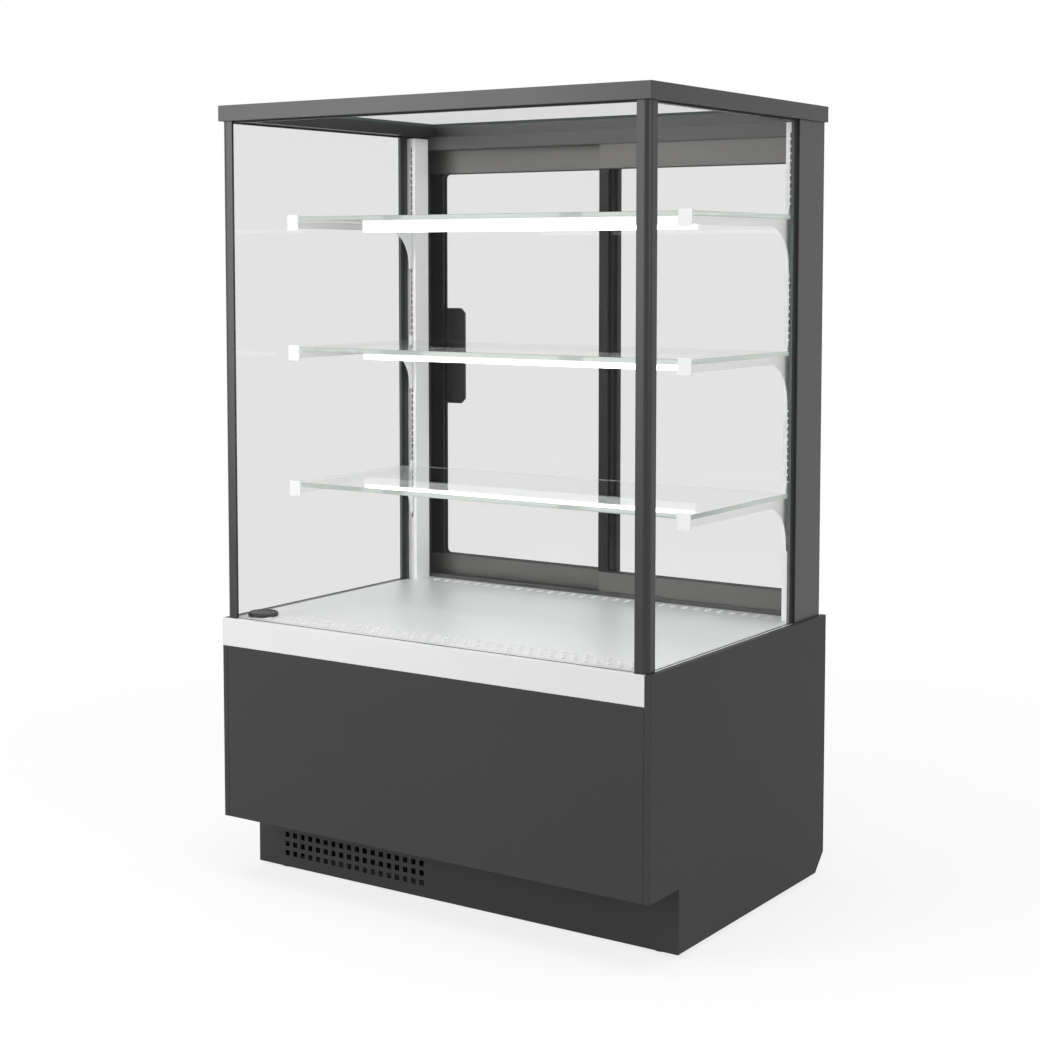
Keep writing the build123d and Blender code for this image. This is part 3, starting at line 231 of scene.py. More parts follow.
charcoal = powder_coat("charcoal_powder_coat", (0.034, 0.034, 0.0345), (0.12, 0.12, 0.12), 0.55, 0.18)
finish_nodes(charcoal, "side_panel_left", "side_panel_right", "front_panel", "kick_panel",
             "rear_service_panel")
frame_coat = powder_coat("satin_frame_coat", (0.016, 0.016, 0.016), (0.12, 0.12, 0.12), 0.34, 0.42)
finish_nodes(frame_coat, "roof_rail_front", "roof_rail_rear", "roof_rail_left", "roof_rail_right",
             "front_post_left", "front_post_right")
# Painted light: the rear posts take a lighter copy of the dark frame coat, in place of the light on their
# sides.
jamb_coat_painted_light = powder_coat("satin_jamb_coat", (0.040, 0.040, 0.039), (0.14, 0.14, 0.14), 0.36, 0.35)
finish_nodes(jamb_coat_painted_light, "rear_post_left", "rear_post_right")
track_coat = powder_coat("satin_track_coat", (0.045, 0.045, 0.044), (0.16, 0.16, 0.16), 0.36, 0.35)
finish_nodes(track_coat, "door_track_top", "door_track_bottom")

# White fascia and shelving steel.
# The fascia strip under the front glass, the slotted uprights and the cantilever brackets.
# White polyester powder coat over folded and pressed steel.
fascia_coat = powder_coat("white_fascia_coat", (0.62, 0.62, 0.62), (0.55, 0.55, 0.55), 0.36, 0.35)
finish_nodes(fascia_coat, "front_fascia")
white_coat = powder_coat("white_powder_coat", (0.92, 0.92, 0.915), (0.80, 0.80, 0.80), 0.34, 0.5)
finish_nodes(white_coat, "shelf_upright_left", "shelf_upright_right",
             "shelf_brackets_left", "shelf_brackets_right")


# Insulated well.
# A thermoformed white liner bonded to foam, with a drain to the tray below.
# Smooth moulded plastic with a faint gloss and slow unevenness from the forming.
def moulded(name, shade, roughness, grain, depth, specular=0.5):
    plastic = Finish(name)
    place = plastic.node("TexCoord", out="Object")
    wear, rounded = wearing_edges(plastic, 0.0006)
    skin = plastic.noise(place, grain, 3.0)
    flow = plastic.noise(place, 9.0, 2.0)
    dark = rgba(*(0.93 * c for c in shade))
    light = rgba(*(min(1.0, 1.05 * c) for c in shade))
    bump = plastic.node("Bump", {}, {"Height": skin, "Strength": 0.25, "Distance": depth,
                                     "Normal": rounded})
    surface = plastic.node("BsdfPrincipled", {}, {
        "Base Color": plastic.mix(flow * 0.6 + wear * 0.4, dark, light),
        "Roughness": roughness + skin * 0.12 - 0.06, "Normal": bump, "Specular IOR Level": specular})
    return plastic.end(surface)


white_liner = moulded("white_liner_plastic", (0.80, 0.80, 0.79), 0.38, 60.0, 0.0002)
finish_nodes(white_liner, "insulated_well")


# Display deck and rear sill.
# The removable deck tray and the sill under the doors: 2 mm stainless sheet, slots punched.
# Satin brushed along the length of the case, with the faint cross haze of wiping.
def brushed(name, shade, along, across, roughness):
    steel = Finish(name)
    place = steel.node("TexCoord", out="Object")
    drawn = steel.node("Mapping", {}, {"Vector": place, "Scale": (along, across, across)})
    rounded = wearing_edges(steel, 0.0008)[1]
    brush = steel.noise(drawn, 1.0, 4.0, 0.65)
    haze = steel.noise(place, 7.0, 4.0, 0.6)
    low = rgba(*(0.95 * c for c in shade))
    high = rgba(*(min(1.0, 1.05 * c) for c in shade))
    bump = steel.node("Bump", {}, {"Height": brush, "Strength": 0.06, "Distance": 0.0001,
                                   "Normal": rounded})
    surface = steel.node("BsdfPrincipled", {}, {
        "Base Color": steel.mix(brush * 0.6 + haze * 0.4, low, high), "Metallic": 0.55,
        "Roughness": roughness + haze * 0.10 + brush * 0.08 - 0.09, "Normal": bump})
    return steel.end(surface)


deck_steel = brushed("satin_deck_steel", (0.75, 0.75, 0.755), 6.0, 900.0, 0.44)
finish_nodes(deck_steel, "display_deck", "rear_sill")


# Chassis tray and fan plates.
# The tray under the machine, the condenser shroud and the evaporator fan panel.
# Hot-dip galvanised sheet with its frosted zinc crystals.
def galvanised(name):
    zinc = Finish(name)
    place = zinc.node("TexCoord", out="Object")
    crystal = zinc.node("TexVoronoi", {"feature": "F1"}, {"Vector": place, "Scale": 95.0,
                                                         "Randomness": 1.0}, out="Color")
    face = zinc.node("SeparateColor", {}, {0: crystal}, out=0)
    frost = zinc.noise(place, 260.0, 3.0)
    wear, rounded = wearing_edges(zinc, 0.0008)
    colour = zinc.mix(face * 0.75 + frost * 0.25, rgba(0.42, 0.43, 0.44), rgba(0.60, 0.61, 0.62))
    surface = zinc.node("BsdfPrincipled", {}, {
        "Base Color": colour, "Metallic": 0.85, "Roughness": 0.34 + face * 0.16 + wear * 0.05,
        "Normal": rounded})
    return zinc.end(surface)


zinc_sheet = galvanised("galvanised_sheet")
finish_nodes(zinc_sheet, "chassis_tray", "condenser_fan_shroud", "evaporator_fan_panel")


# Glass.
# Toughened panes glued into the frame, the roof pane, the two door panes and three shelves.
# Float glass with ground and polished edges, which show its green from the side; on the shelves that green
# edge also carries a painted glow.
def collect(name, build, material, body, replaced=()):
    """Makes one finished piece from a function that fills a bmesh."""
    shape = bmesh.new()
    build(shape)
    mesh = bpy.data.meshes.new(name)
    shape.to_mesh(mesh)
    shape.free()
    mesh.materials.append(material)
    piece = bpy.data.objects.new(name, mesh)
    bpy.context.scene.collection.objects.link(piece)
    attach(piece, body)
    if replaced:
        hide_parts(*replaced)
    return piece


def bevelled_block(shape, low, high, bevel, segments=2):
    """A block between two corners with rounded edges, added to the bmesh."""
    made = bmesh.ops.create_cube(shape, size=1.0)["verts"]
    for vertex in made:
        vertex.co = Vector([low[k] if vertex.co[k] < 0 else high[k] for k in range(3)])
    edges = list({edge for vertex in made for edge in vertex.link_edges})
    bmesh.ops.bevel(shape, geom=edges, offset=bevel, segments=segments, profile=0.5, affect="EDGES")


def polished_edge(glass, face_axis):
    """1 on the narrow faces of a sheet, 0 on the two broad faces across face_axis."""
    normal = glass.node("NewGeometry", out="Normal")
    across = glass.node("SeparateXYZ", {}, {0: normal}, out=face_axis)
    return glass.reckon("ABSOLUTE", across) < 0.6


def float_pane(name, face_axis, mirror_share):
    """Toughened pane in a frame: tinted see-through faces with a faint mirror, dark green rim."""
    glass = Finish(name)
    place = glass.node("TexCoord", out="Object")
    smear = glass.noise(place, 5.0, 4.0, 0.6)
    entering = 1.0 - glass.node("NewGeometry", out="Backfacing")
    mirror = glass.node("Fresnel", {}, {"IOR": 1.4}) * entering * (mirror_share + smear * 0.10)
    clear = glass.node("BsdfTransparent", {}, {"Color": rgba(0.935, 0.936, 0.935)})
    gloss = glass.node("BsdfGlossy", {}, {"Color": rgba(1, 1, 1), "Roughness": 0.0})
    face = glass.node("MixShader", {}, {0: mirror, 1: clear, 2: gloss})
    rim = glass.node("BsdfPrincipled", {}, {"Base Color": rgba(0.10, 0.15, 0.13), "Roughness": 0.25})
    pane = glass.node("MixShader", {}, {0: polished_edge(glass, face_axis), 1: face, 2: rim})
    lets_through = glass.node("BsdfTransparent", {}, {"Color": rgba(0.98, 0.98, 0.98)})
    lamps = glass.node("LightPath", out="Is Shadow Ray")
    return glass.end(glass.node("MixShader", {}, {0: lamps, 1: pane, 2: lets_through}))


def shelf_plate(name):
    """Shelf glass: solid and refracting, with a pale green painted glow in its polished edge, an emission
    in place of light carried along the glass.
    """
    face_tint = rgba(0.95, 0.965, 0.955)
    edge_tint = rgba(0.83, 0.90, 0.85)
    glass = Finish(name)
    edge = polished_edge(glass, 2)
    clear = glass.node("BsdfPrincipled", {}, {
        "Base Color": glass.mix(edge, face_tint, edge_tint), "Transmission Weight": 1.0,
        "Roughness": 0.0, "IOR": 1.5, "Specular IOR Level": 0.3})
    # Painted glow: the shelf edges emit their green tint, though the glass is no lamp.
    glow = glass.node("BsdfPrincipled", {}, {"Base Color": edge_tint, "Roughness": 0.2,
                                             "Emission Color": edge_tint,
                                             "Emission Strength": 0.4})
    plate = glass.node("MixShader", {}, {0: edge * 0.45, 1: clear, 2: glow})
    lets_through = glass.node("BsdfTransparent", {}, {"Color": rgba(0.96, 0.98, 0.97)})
    lamps = glass.node("LightPath", out="Is Shadow Ray")
    return glass.end(glass.node("MixShader", {}, {0: lamps, 1: plate, 2: lets_through}))


bpy.context.scene.cycles.transparent_max_bounces = 32
PANE_CLEARANCE = 0.0001
PANE_ARRIS = 0.0006
shelf_glass = shelf_plate("shelf_float_glass")
pane_glass = {axis: float_pane("float_glass_facing_" + "xyz"[axis], axis, share)
              for axis, share in ((0, 0.15), (1, 0.30), (2, 0.10))}
for pane, axis, body in (
        ("front_glass", 1, "case"), ("side_glass_left", 0, "case"), ("side_glass_right", 0, "case"),
        ("roof_glass", 2, "case"), ("door_left_glass", 1, "door_left"),
        ("door_right_glass", 1, "door_right"), ("shelf_glass_1", 2, "shelf_1"),
        ("shelf_glass_2", 2, "shelf_2"), ("shelf_glass_3", 2, "shelf_3")):
    pane_low, pane_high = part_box(pane)
    gap = Vector([PANE_CLEARANCE] * 3)
    pane_piece = collect(pane + "_pane",
                         lambda shape: bevelled_block(shape, pane_low + gap, pane_high - gap, PANE_ARRIS),
                         shelf_glass if pane.startswith("shelf") else pane_glass[axis],
                         body, (pane,))
    skipped_panes.objects.link(pane_piece)
for member in skipped_panes.collection_objects:
    member.light_linking.link_state = "EXCLUDE"


# Gaskets.
# Black bulb and lip profiles between the glass and its frame.
# Extruded rubber with a dull bloom.
def rubber(name, shade=(0.014, 0.014, 0.014)):
    bloom = Finish(name)
    place = bloom.node("TexCoord", out="Object")
    dust = bloom.noise(place, 38.0, 4.0)
    pore = bloom.noise(place, 1600.0, 1.0)
    bump = bloom.node("Bump", {}, {"Height": pore, "Strength": 0.2, "Distance": 0.0001})
    surface = bloom.node("BsdfPrincipled", {}, {
        "Base Color": bloom.mix(dust * 0.5, rgba(*shade), rgba(*(2.4 * c for c in shade))),
        "Roughness": 0.62 + dust * 0.2, "Normal": bump, "Specular IOR Level": 0.3})
    return bloom.end(surface)


gasket_rubber = rubber("gasket_rubber")
finish_nodes(gasket_rubber, "glass_gaskets")

# Sliding doors and handles.
# Two welded frames on top and bottom tracks, each with its pane: the left has a folded pull plate,
# the right a flush cup. The stiles are near black and the rails lighter grey satin drawn along their
# length: the lighter rails are a painted sheen, and the stiles' near black is partly painted shade.
handle_coat = powder_coat("handle_powder_coat", (0.014, 0.014, 0.0145), (0.10, 0.10, 0.10), 0.40, 0.25,
                          0.0016)
finish_nodes(handle_coat, "door_left_handle", "door_right_handle")


def door_bars_with_painted_sheen(name, rail_painted_sheen, stile_dark_with_painted_shade, rail_top, rail_bottom):
    """Near-black stiles between lighter grey satin rails, joined square above and below the pane; the
    rails' lighter grey is a painted sheen and the stiles' near black is partly painted shade.
    """
    bars = Finish(name)
    place = bars.node("TexCoord", out="Object")
    height = bars.node("SeparateXYZ", {}, {0: place}, out="Z")
    is_rail = bars.reckon("MAXIMUM", height > rail_top, height < rail_bottom)
    drawn = bars.noise(bars.node("Mapping", {}, {"Vector": place, "Scale": (5.0, 5.0, 700.0)}), 1.0, 3.0)
    cloud = bars.noise(place, 4.0, 3.0)
    wear, rounded = wearing_edges(bars, 0.0012)
    # Painted sheen: the rails get a lighter grey than the stiles in place of the light they reflect, and
    # the stiles' near black is partly painted shade.
    painted_sheen_tone = bars.mix(is_rail, rgba(*stile_dark_with_painted_shade), rgba(*rail_painted_sheen))
    darker = bars.mix(drawn * 0.35 + cloud * 0.25, painted_sheen_tone, bars.mix(0.45, painted_sheen_tone, rgba(0, 0, 0)))
    surface = bars.node("BsdfPrincipled", {}, {
        "Base Color": bars.mix(wear * 0.5, darker, rgba(0.16, 0.16, 0.155)),
        "Metallic": is_rail * 0.6, "Roughness": 0.36 + drawn * 0.08, "Normal": rounded,
        "Specular IOR Level": 0.2})
    return bars.end(surface)


for side in ("left", "right"):
    door_pane_low, door_pane_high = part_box(f"door_{side}_glass")
    # The rail colour is a painted sheen and the stile colour is partly painted shade.
    finish_nodes(door_bars_with_painted_sheen(f"door_{side}_bars", (0.115, 0.112, 0.108), (0.008, 0.008, 0.0085),
                           door_pane_high.z - 0.006, door_pane_low.z + 0.006), f"door_{side}_frame")

# Moulded controls and feet.
# Control plate, buttons, rockers, cable gland, fan blades and the pads of the feet.
# Glass-filled black nylon with a fine spark-eroded texture.
black_moulding = moulded("black_moulded_nylon", (0.019, 0.019, 0.020), 0.46, 1100.0, 0.0002)
finish_nodes(black_moulding, "control_panel", "controller_button_up", "controller_button_down",
             "power_switch", "light_switch", "cable_gland", "condenser_fan_blades",
             "evaporator_fan_blades", "levelling_foot_front_left", "levelling_foot_front_right",
             "levelling_foot_rear_left", "levelling_foot_rear_right")


# Compressor.
# The welded shell of the compressor with its terminal cover, on the chassis tray.
# Black stove enamel, glossy, with dust settled on the upper faces.
def enamel(name):
    gloss = Finish(name)
    place = gloss.node("TexCoord", out="Object")
    up = gloss.node("SeparateXYZ", {}, {0: gloss.node("NewGeometry", out="Normal")}, out="Z")
    speck = gloss.noise(place, 160.0, 4.0)
    peel = gloss.noise(place, 420.0, 1.0)
    dust = gloss.reckon("MAXIMUM", up, 0.0) * speck * 0.5
    bump = gloss.node("Bump", {}, {"Height": peel, "Strength": 0.15, "Distance": 0.0003})
    surface = gloss.node("BsdfPrincipled", {}, {
        "Base Color": gloss.mix(dust, rgba(0.010, 0.010, 0.011), rgba(0.16, 0.15, 0.14)),
        "Roughness": 0.20 + dust * 0.6, "Normal": bump})
    return gloss.end(surface)


finish_nodes(enamel("black_stove_enamel"), "compressor")


# Coils.
# Condenser and evaporator: aluminium fins pressed onto copper tube.
# Thin mill-finish aluminium, with lint caught between the fins; the condenser fins are coloured near black
# as painted shade.
def fin_aluminium(name, metal, lint_shade, metallic):
    fins = Finish(name)
    place = fins.node("TexCoord", out="Object")
    lint = fins.noise(place, 55.0, 5.0, 0.7)
    along = fins.node("Mapping", {}, {"Vector": place, "Scale": (900.0, 900.0, 30.0)})
    rolled = fins.noise(along, 1.0, 2.0)
    surface = fins.node("BsdfPrincipled", {}, {
        "Base Color": fins.mix((lint > 0.62) * 0.5, rgba(*metal), rgba(*lint_shade)),
        "Metallic": metallic, "Roughness": 0.28 + rolled * 0.18})
    return fins.end(surface)


finish_nodes(fin_aluminium("mill_aluminium_fins", (0.78, 0.79, 0.80), (0.45, 0.44, 0.42), 0.9),
             "evaporator_coil")
# Painted shade: the condenser fins are coloured near black so that the holes of the kick panel read dark.
finish_nodes(fin_aluminium("condenser_fins_painted_shade", (0.012, 0.012, 0.013), (0.05, 0.05, 0.048), 0.0),
             "condenser_coil")


# Refrigerant pipes.
# Brazed copper lines between compressor, condenser and evaporator.
# Bright copper gone brown in patches from handling and heat.
def aged_copper(name):
    copper = Finish(name)
    place = copper.node("TexCoord", out="Object")
    patch = copper.noise(place, 26.0, 5.0, 0.65)
    drawn = copper.noise(place, 700.0, 1.0)
    surface = copper.node("BsdfPrincipled", {}, {
        "Base Color": copper.mix(patch ** 1.6, rgba(0.80, 0.44, 0.30), rgba(0.34, 0.17, 0.10)),
        "Metallic": 1.0, "Roughness": 0.20 + patch * 0.28 + drawn * 0.05})
    return copper.end(surface)


finish_nodes(aged_copper("aged_copper"), "refrigerant_pipes")


# Shelf lights.
# One bar under each glass shelf: a white channel clipped to the glass, with end caps and an opal lens that
# faces down.
# The lens is lit from inside; the white channel and its end caps carry a faint painted glow.
def opal(name, glow, strength):
    lens = Finish(name)
    place = lens.node("TexCoord", out="Object")
    depth = lens.noise(place, 35.0, 2.0)
    surface = lens.node("BsdfPrincipled", {}, {
        "Base Color": rgba(0.86, 0.86, 0.86), "Roughness": 0.35 + depth * 0.1,
        "Emission Color": lens.mix(depth * 0.3, rgba(*glow), rgba(*(0.95 * c for c in glow))),
        "Emission Strength": strength})
    return lens.end(surface)


def ruled(shape, outline, start, end):
    """Runs an outline of (y, z) points along X between two planes, with both ends closed."""
    ends = [[shape.verts.new((x, y, z)) for y, z in outline] for x in (start, end)]
    count = len(outline)
    for k in range(count):
        shape.faces.new((ends[0][k], ends[0][(k + 1) % count], ends[1][(k + 1) % count], ends[1][k]))
    shape.faces.new(ends[0][::-1])
    shape.faces.new(ends[1])
    bmesh.ops.recalc_face_normals(shape, faces=shape.faces[:])


opal_lens = opal("opal_lens", (1.0, 1.0, 1.0), 6.5)
# Painted glow: the white channel and its end caps emit faintly, though only the lens is lit.
channel_painted_glow = opal("white_light_channel", (1.0, 1.0, 1.0), 0.35)
for number in (1, 2, 3):
    light_low, light_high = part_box(f"shelf_light_{number}")
    middle = (light_low.y + light_high.y) / 2
    half = (light_high.y - light_low.y) / 2
    roof = light_high.z - PANE_CLEARANCE
    foot = light_low.z
    lip = foot + 0.0085
    channel = [(middle - half, roof), (middle - half, lip), (middle - half + 0.0008, lip - 0.0006),
               (middle + half - 0.0008, lip - 0.0006), (middle + half, lip), (middle + half, roof)]
    arc = [(middle - (half - 0.0006) * math.cos(math.pi * k / 14),
            lip - 0.0006 - (lip - 0.0006 - foot) * math.sin(math.pi * k / 14) ** 0.6) for k in range(15)]
    cap = 0.003

    def channel_and_caps(shape):
        ruled(shape, channel, light_low.x + cap, light_high.x - cap)
        for start in (light_low.x, light_high.x - cap):
            bevelled_block(shape, (start, light_low.y, foot), (start + cap, light_high.y, roof), 0.0012)

    collect(f"shelf_light_{number}_channel", channel_and_caps, channel_painted_glow, f"shelf_{number}",
            (f"shelf_light_{number}",))
    collect(f"shelf_light_{number}_lens",
            lambda shape: ruled(shape, arc, light_low.x + cap, light_high.x - cap),
            opal_lens, f"shelf_{number}")


# Air slot rims and blades.
# White rims that line every slot of the deck, three rows in front and one behind, and the leaning
# blades below them. Moulded nylon, snapped in from above so that the sheet has no raw edge.
def seated_on_points():
    """A tree that sets a copy of one piece on every point of a mesh, each with its own small turn."""
    tree = bpy.data.node_groups.new("seated_on_points", "GeometryNodeTree")
    for label, kind in (("Geometry", "NodeSocketGeometry"), ("Piece", "NodeSocketObject"),
                        ("Facing", "NodeSocketVector"), ("Size", "NodeSocketFloat"),
                        ("Spin", "NodeSocketFloat"), ("Seed", "NodeSocketInt"),
                        ("Finish", "NodeSocketMaterial")):
        tree.interface.new_socket(label, in_out="INPUT", socket_type=kind)
    tree.interface.new_socket("Geometry", in_out="OUTPUT", socket_type="NodeSocketGeometry")

    def step(kind, settings=None, sockets=None):
        made = tree.nodes.new(kind)
        for key, value in (settings or {}).items():
            setattr(made, key, value)
        for key, value in (sockets or {}).items():
            if isinstance(value, bpy.types.NodeSocket):
                tree.links.new(value, made.inputs[key])
            else:
                made.inputs[key].default_value = value
        return made

    given = step("NodeGroupInput").outputs
    piece = step("GeometryNodeObjectInfo", {"transform_space": "ORIGINAL"}, {"Object": given["Piece"]})
    copies = step("GeometryNodeInstanceOnPoints", {}, {
        "Points": given["Geometry"], "Instance": piece.outputs["Geometry"],
        "Rotation": given["Facing"], "Scale": given["Size"]})
    chance = step("FunctionNodeRandomValue", {"data_type": "FLOAT"}, {"Seed": given["Seed"]})
    angle = step("ShaderNodeMath", {"operation": "MULTIPLY"}, {0: chance.outputs[1], 1: given["Spin"]})
    spin = step("ShaderNodeCombineXYZ", {}, {"Z": angle.outputs[0]})
    spun = step("GeometryNodeRotateInstances", {}, {
        "Instances": copies.outputs[0], "Rotation": spin.outputs[0], "Local Space": True})
    solid = step("GeometryNodeRealizeInstances", {}, {"Geometry": spun.outputs[0]})
    coated = step("GeometryNodeSetMaterial", {}, {
        "Geometry": solid.outputs[0], "Material": given["Finish"]})
    step("NodeGroupOutput", {}, {"Geometry": coated.outputs[0]})
    return tree


seating = seated_on_points()


def set_pieces(name, places, build, material, body, facing=(0, 0, 0), spin=0.0, seed=1):
    """Sets a small piece, built by a function, on each place and keeps them as one mesh."""
    shape = bmesh.new()
    build(shape)
    master_mesh = bpy.data.meshes.new(name + "_master")
    shape.to_mesh(master_mesh)
    shape.free()
    master = bpy.data.objects.new(name + "_master", master_mesh)
    points = bpy.data.meshes.new(name + "_points")
    points.from_pydata(places, [], [])
    carrier = bpy.data.objects.new(name + "_points", points)
    for item in (master, carrier):
        bpy.context.scene.collection.objects.link(item)
    modifier = carrier.modifiers.new("seating", "NODES")
    modifier.node_group = seating
    values = {"Piece": master, "Facing": facing, "Size": 1.0, "Spin": spin, "Seed": seed,
              "Finish": material}
    for socket in seating.interface.items_tree:
        if socket.in_out == "INPUT" and socket.name in values:
            modifier[socket.identifier] = values[socket.name]
    bpy.context.view_layer.update()
    graph = bpy.context.evaluated_depsgraph_get()
    mesh = bpy.data.meshes.new_from_object(carrier.evaluated_get(graph))
    mesh.name = name
    bpy.data.objects.remove(carrier)
    bpy.data.objects.remove(master)
    piece = bpy.data.objects.new(name, mesh)
    bpy.context.scene.collection.objects.link(piece)
    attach(piece, body)


def oval(width, length, steps=8):
    """Points round a slot with round ends, long way along Y."""
    radius, straight = width / 2, (length - width) / 2
    ring = []
    for end in (1, -1):
        for k in range(steps + 1):
            angle = math.pi * k / steps
            ring.append((end * radius * math.cos(angle), end * (straight + radius * math.sin(angle))))
    return ring


def slot_rim(slot_width, slot_length, flange, proud, depth):
    """A closed ring: a flange on the sheet and a sleeve down through the slot."""
    levels = [(slot_width - 0.0006, slot_length - 0.0006, -depth),
              (slot_width - 0.0006, slot_length - 0.0006, 0.0),
              (slot_width + flange, slot_length + flange, 0.0),
              (slot_width + flange * 0.7, slot_length + flange * 0.7, proud),
              (slot_width - 0.0012, slot_length - 0.0012, proud),
              (slot_width - 0.0018, slot_length - 0.0018, -depth)]

    def build(shape):
        rings = [[shape.verts.new((x, y, z)) for x, y in oval(width, length)]
                 for width, length, z in levels]
        count = len(rings[0])
        for upper, lower in zip(rings, rings[1:] + rings[:1]):
            for k in range(count):
                shape.faces.new((upper[k], upper[(k + 1) % count], lower[(k + 1) % count], lower[k]))
        bmesh.ops.remove_doubles(shape, verts=shape.verts[:], dist=1e-6)
        bmesh.ops.recalc_face_normals(shape, faces=shape.faces[:])
    return build


deck_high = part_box("display_deck")[1]
front_rows = ((-0.243, 37), (-0.262, 36), (-0.281, 37))
front_pitch = 0.022
rear_row = 0.237
rear_pitch = 0.025
rear_count = 31
rim_flange = 0.0028
rim_proud = 0.0008
deck_sheet = 0.002
rim_nylon = moulded("white_rim_nylon", (0.90, 0.90, 0.89), 0.35, 900.0, 0.0001)
front_slots = [((k - (count - 1) / 2) * front_pitch, row_y, deck_high.z)
               for row_y, count in front_rows for k in range(count)]
rear_slots = [((k - (rear_count - 1) / 2) * rear_pitch, rear_row, deck_high.z) for k in range(rear_count)]
set_pieces("front_slot_rims", front_slots, slot_rim(0.0055, 0.015, rim_flange, rim_proud, deck_sheet),
           rim_nylon, "deck")
set_pieces("rear_slot_rims", rear_slots, slot_rim(0.006, 0.017, rim_flange, rim_proud, deck_sheet),
           rim_nylon, "deck")


def blade(length, drop, lean, thickness):
    """A leaning air blade that hangs under a slot, its top edge under the sheet."""
    def build(shape):
        bevelled_block(shape, (-thickness / 2, -length / 2, -drop), (thickness / 2, length / 2, 0),
                       0.0002, 1)
        for vertex in shape.verts:
            vertex.co = Vector((vertex.co.x + lean * vertex.co.z, vertex.co.y, vertex.co.z - 0.0021))
    return build


set_pieces("front_slot_blades", front_slots, blade(0.014, 0.006, 0.55, 0.0016), rim_nylon, "deck")
set_pieces("rear_slot_blades", rear_slots, blade(0.016, 0.006, 0.55, 0.0016), rim_nylon, "deck")


# Deck thermometer.
# A round dial thermometer in the front left corner of the deck.
# Turned black bezel, dark dial with pale ticks, a needle and a flat lens.
def turned(shape, outline, centre, steps=64):
    """Spins (radius, height) points about an upright axis; ends on the axis are closed."""
    rings = []
    for radius, height in outline:
        if radius < 1e-9:
            rings.append([shape.verts.new((centre[0], centre[1], centre[2] + height))])
        else:
            rings.append([shape.verts.new((centre[0] + radius * math.cos(2 * math.pi * k / steps),
                                           centre[1] + radius * math.sin(2 * math.pi * k / steps),
                                           centre[2] + height)) for k in range(steps)])
    for first, second in zip(rings, rings[1:]):
        for k in range(steps):
            after = (k + 1) % steps
            corners = [first[k % len(first)], first[after % len(first)],
                       second[after % len(second)], second[k % len(second)]]
            shape.faces.new(list(dict.fromkeys(corners)))
    bmesh.ops.recalc_face_normals(shape, faces=shape.faces[:])


dial_low, dial_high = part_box("deck_thermometer")
dial_centre = ((dial_low.x + dial_high.x) / 2, (dial_low.y + dial_high.y) / 2, dial_low.z)
bezel_radius = (dial_high.x - dial_low.x) / 2
bezel_height = dial_high.z - dial_low.z
dial_level = bezel_height - 0.0020
bezel_outline = [(0, 0), (bezel_radius - 0.0004, 0), (bezel_radius, 0.0006),
                 (bezel_radius, bezel_height * 0.6),
                 (bezel_radius - 0.0008, bezel_height * 0.86), (bezel_radius - 0.0020, bezel_height),
                 (bezel_radius - 0.0036, bezel_height - 0.0003), (bezel_radius - 0.0044, dial_level),
                 (0, dial_level)]
collect("thermometer_bezel", lambda shape: turned(shape, bezel_outline, dial_centre), black_moulding,
        "deck", ("deck_thermometer",))
tick_paint = moulded("pale_tick_paint", (0.70, 0.70, 0.68), 0.5, 900.0, 0.00005)
needle_paint = moulded("red_needle_paint", (0.45, 0.02, 0.015), 0.4, 900.0, 0.00005)


def dial_ticks(shape):
    for k in range(31):
        angle = math.radians(-135 + 9 * k)
        longer = k % 5 == 0
        inner, outer = bezel_radius - (0.0095 if longer else 0.0078), bezel_radius - 0.0055
        half = 0.00035 if longer else 0.0002
        along = Vector((math.sin(angle), -math.cos(angle), 0))
        aside = Vector((along.y, -along.x, 0))
        base = Vector(dial_centre) + Vector((0, 0, dial_level - 0.0001))
        corners = [base + along * reach + aside * side
                   for reach, side in ((inner, -half), (inner, half), (outer, half), (outer, -half))]
        low = [shape.verts.new(corner) for corner in corners]
        high = [shape.verts.new(corner + Vector((0, 0, 0.0003))) for corner in corners]
        for m in range(4):
            shape.faces.new((low[m], low[(m + 1) % 4], high[(m + 1) % 4], high[m]))
        shape.faces.new(low[::-1])
        shape.faces.new(high)
    bmesh.ops.recalc_face_normals(shape, faces=shape.faces[:])


collect("thermometer_ticks", dial_ticks, tick_paint, "deck")


def needle(shape):
    base = Vector(dial_centre) + Vector((0, 0, dial_level + 0.0005))
    along = Vector((math.sin(0.5), -math.cos(0.5), 0))
    aside = Vector((along.y, -along.x, 0))
    corners = [base - along * 0.005 + aside * 0.0008, base - along * 0.005 - aside * 0.0008,
               base + along * (bezel_radius - 0.008)]
    low = [shape.verts.new(corner) for corner in corners]
    high = [shape.verts.new(corner + Vector((0, 0, 0.0003))) for corner in corners]
    for m in range(3):
        shape.faces.new((low[m], low[(m + 1) % 3], high[(m + 1) % 3], high[m]))
    shape.faces.new(low[::-1])
    shape.faces.new(high)
    hub = [(0, -0.0005), (0.0016, -0.0005), (0.0016, 0.0004), (0.0010, 0.0007), (0, 0.0007)]
    turned(shape, hub, base, 24)


collect("thermometer_needle", needle, needle_paint, "deck")
collect("thermometer_lens", lambda shape: turned(
    shape, [(0, bezel_height - 0.0009), (bezel_radius - 0.0041, bezel_height - 0.0009),
            (bezel_radius - 0.0041, bezel_height - 0.0005), (0, bezel_height - 0.0005)], dial_centre),
    pane_glass[2], "deck")


# Screws of the staff side.
# Pan-head machine screws with a six-lobe socket round the louvred panel, the sill and the controls.
# Zinc-plated steel, driven flush onto the sheet.
def plated(name):
    zinc = Finish(name)
    place = zinc.node("TexCoord", out="Object")
    grime = zinc.noise(place, 300.0, 3.0)
    surface = zinc.node("BsdfPrincipled", {}, {
        "Base Color": zinc.mix(grime, rgba(0.52, 0.53, 0.55), rgba(0.70, 0.71, 0.73)), "Metallic": 1.0,
        "Roughness": 0.24 + grime * 0.2})
    return zinc.end(surface)


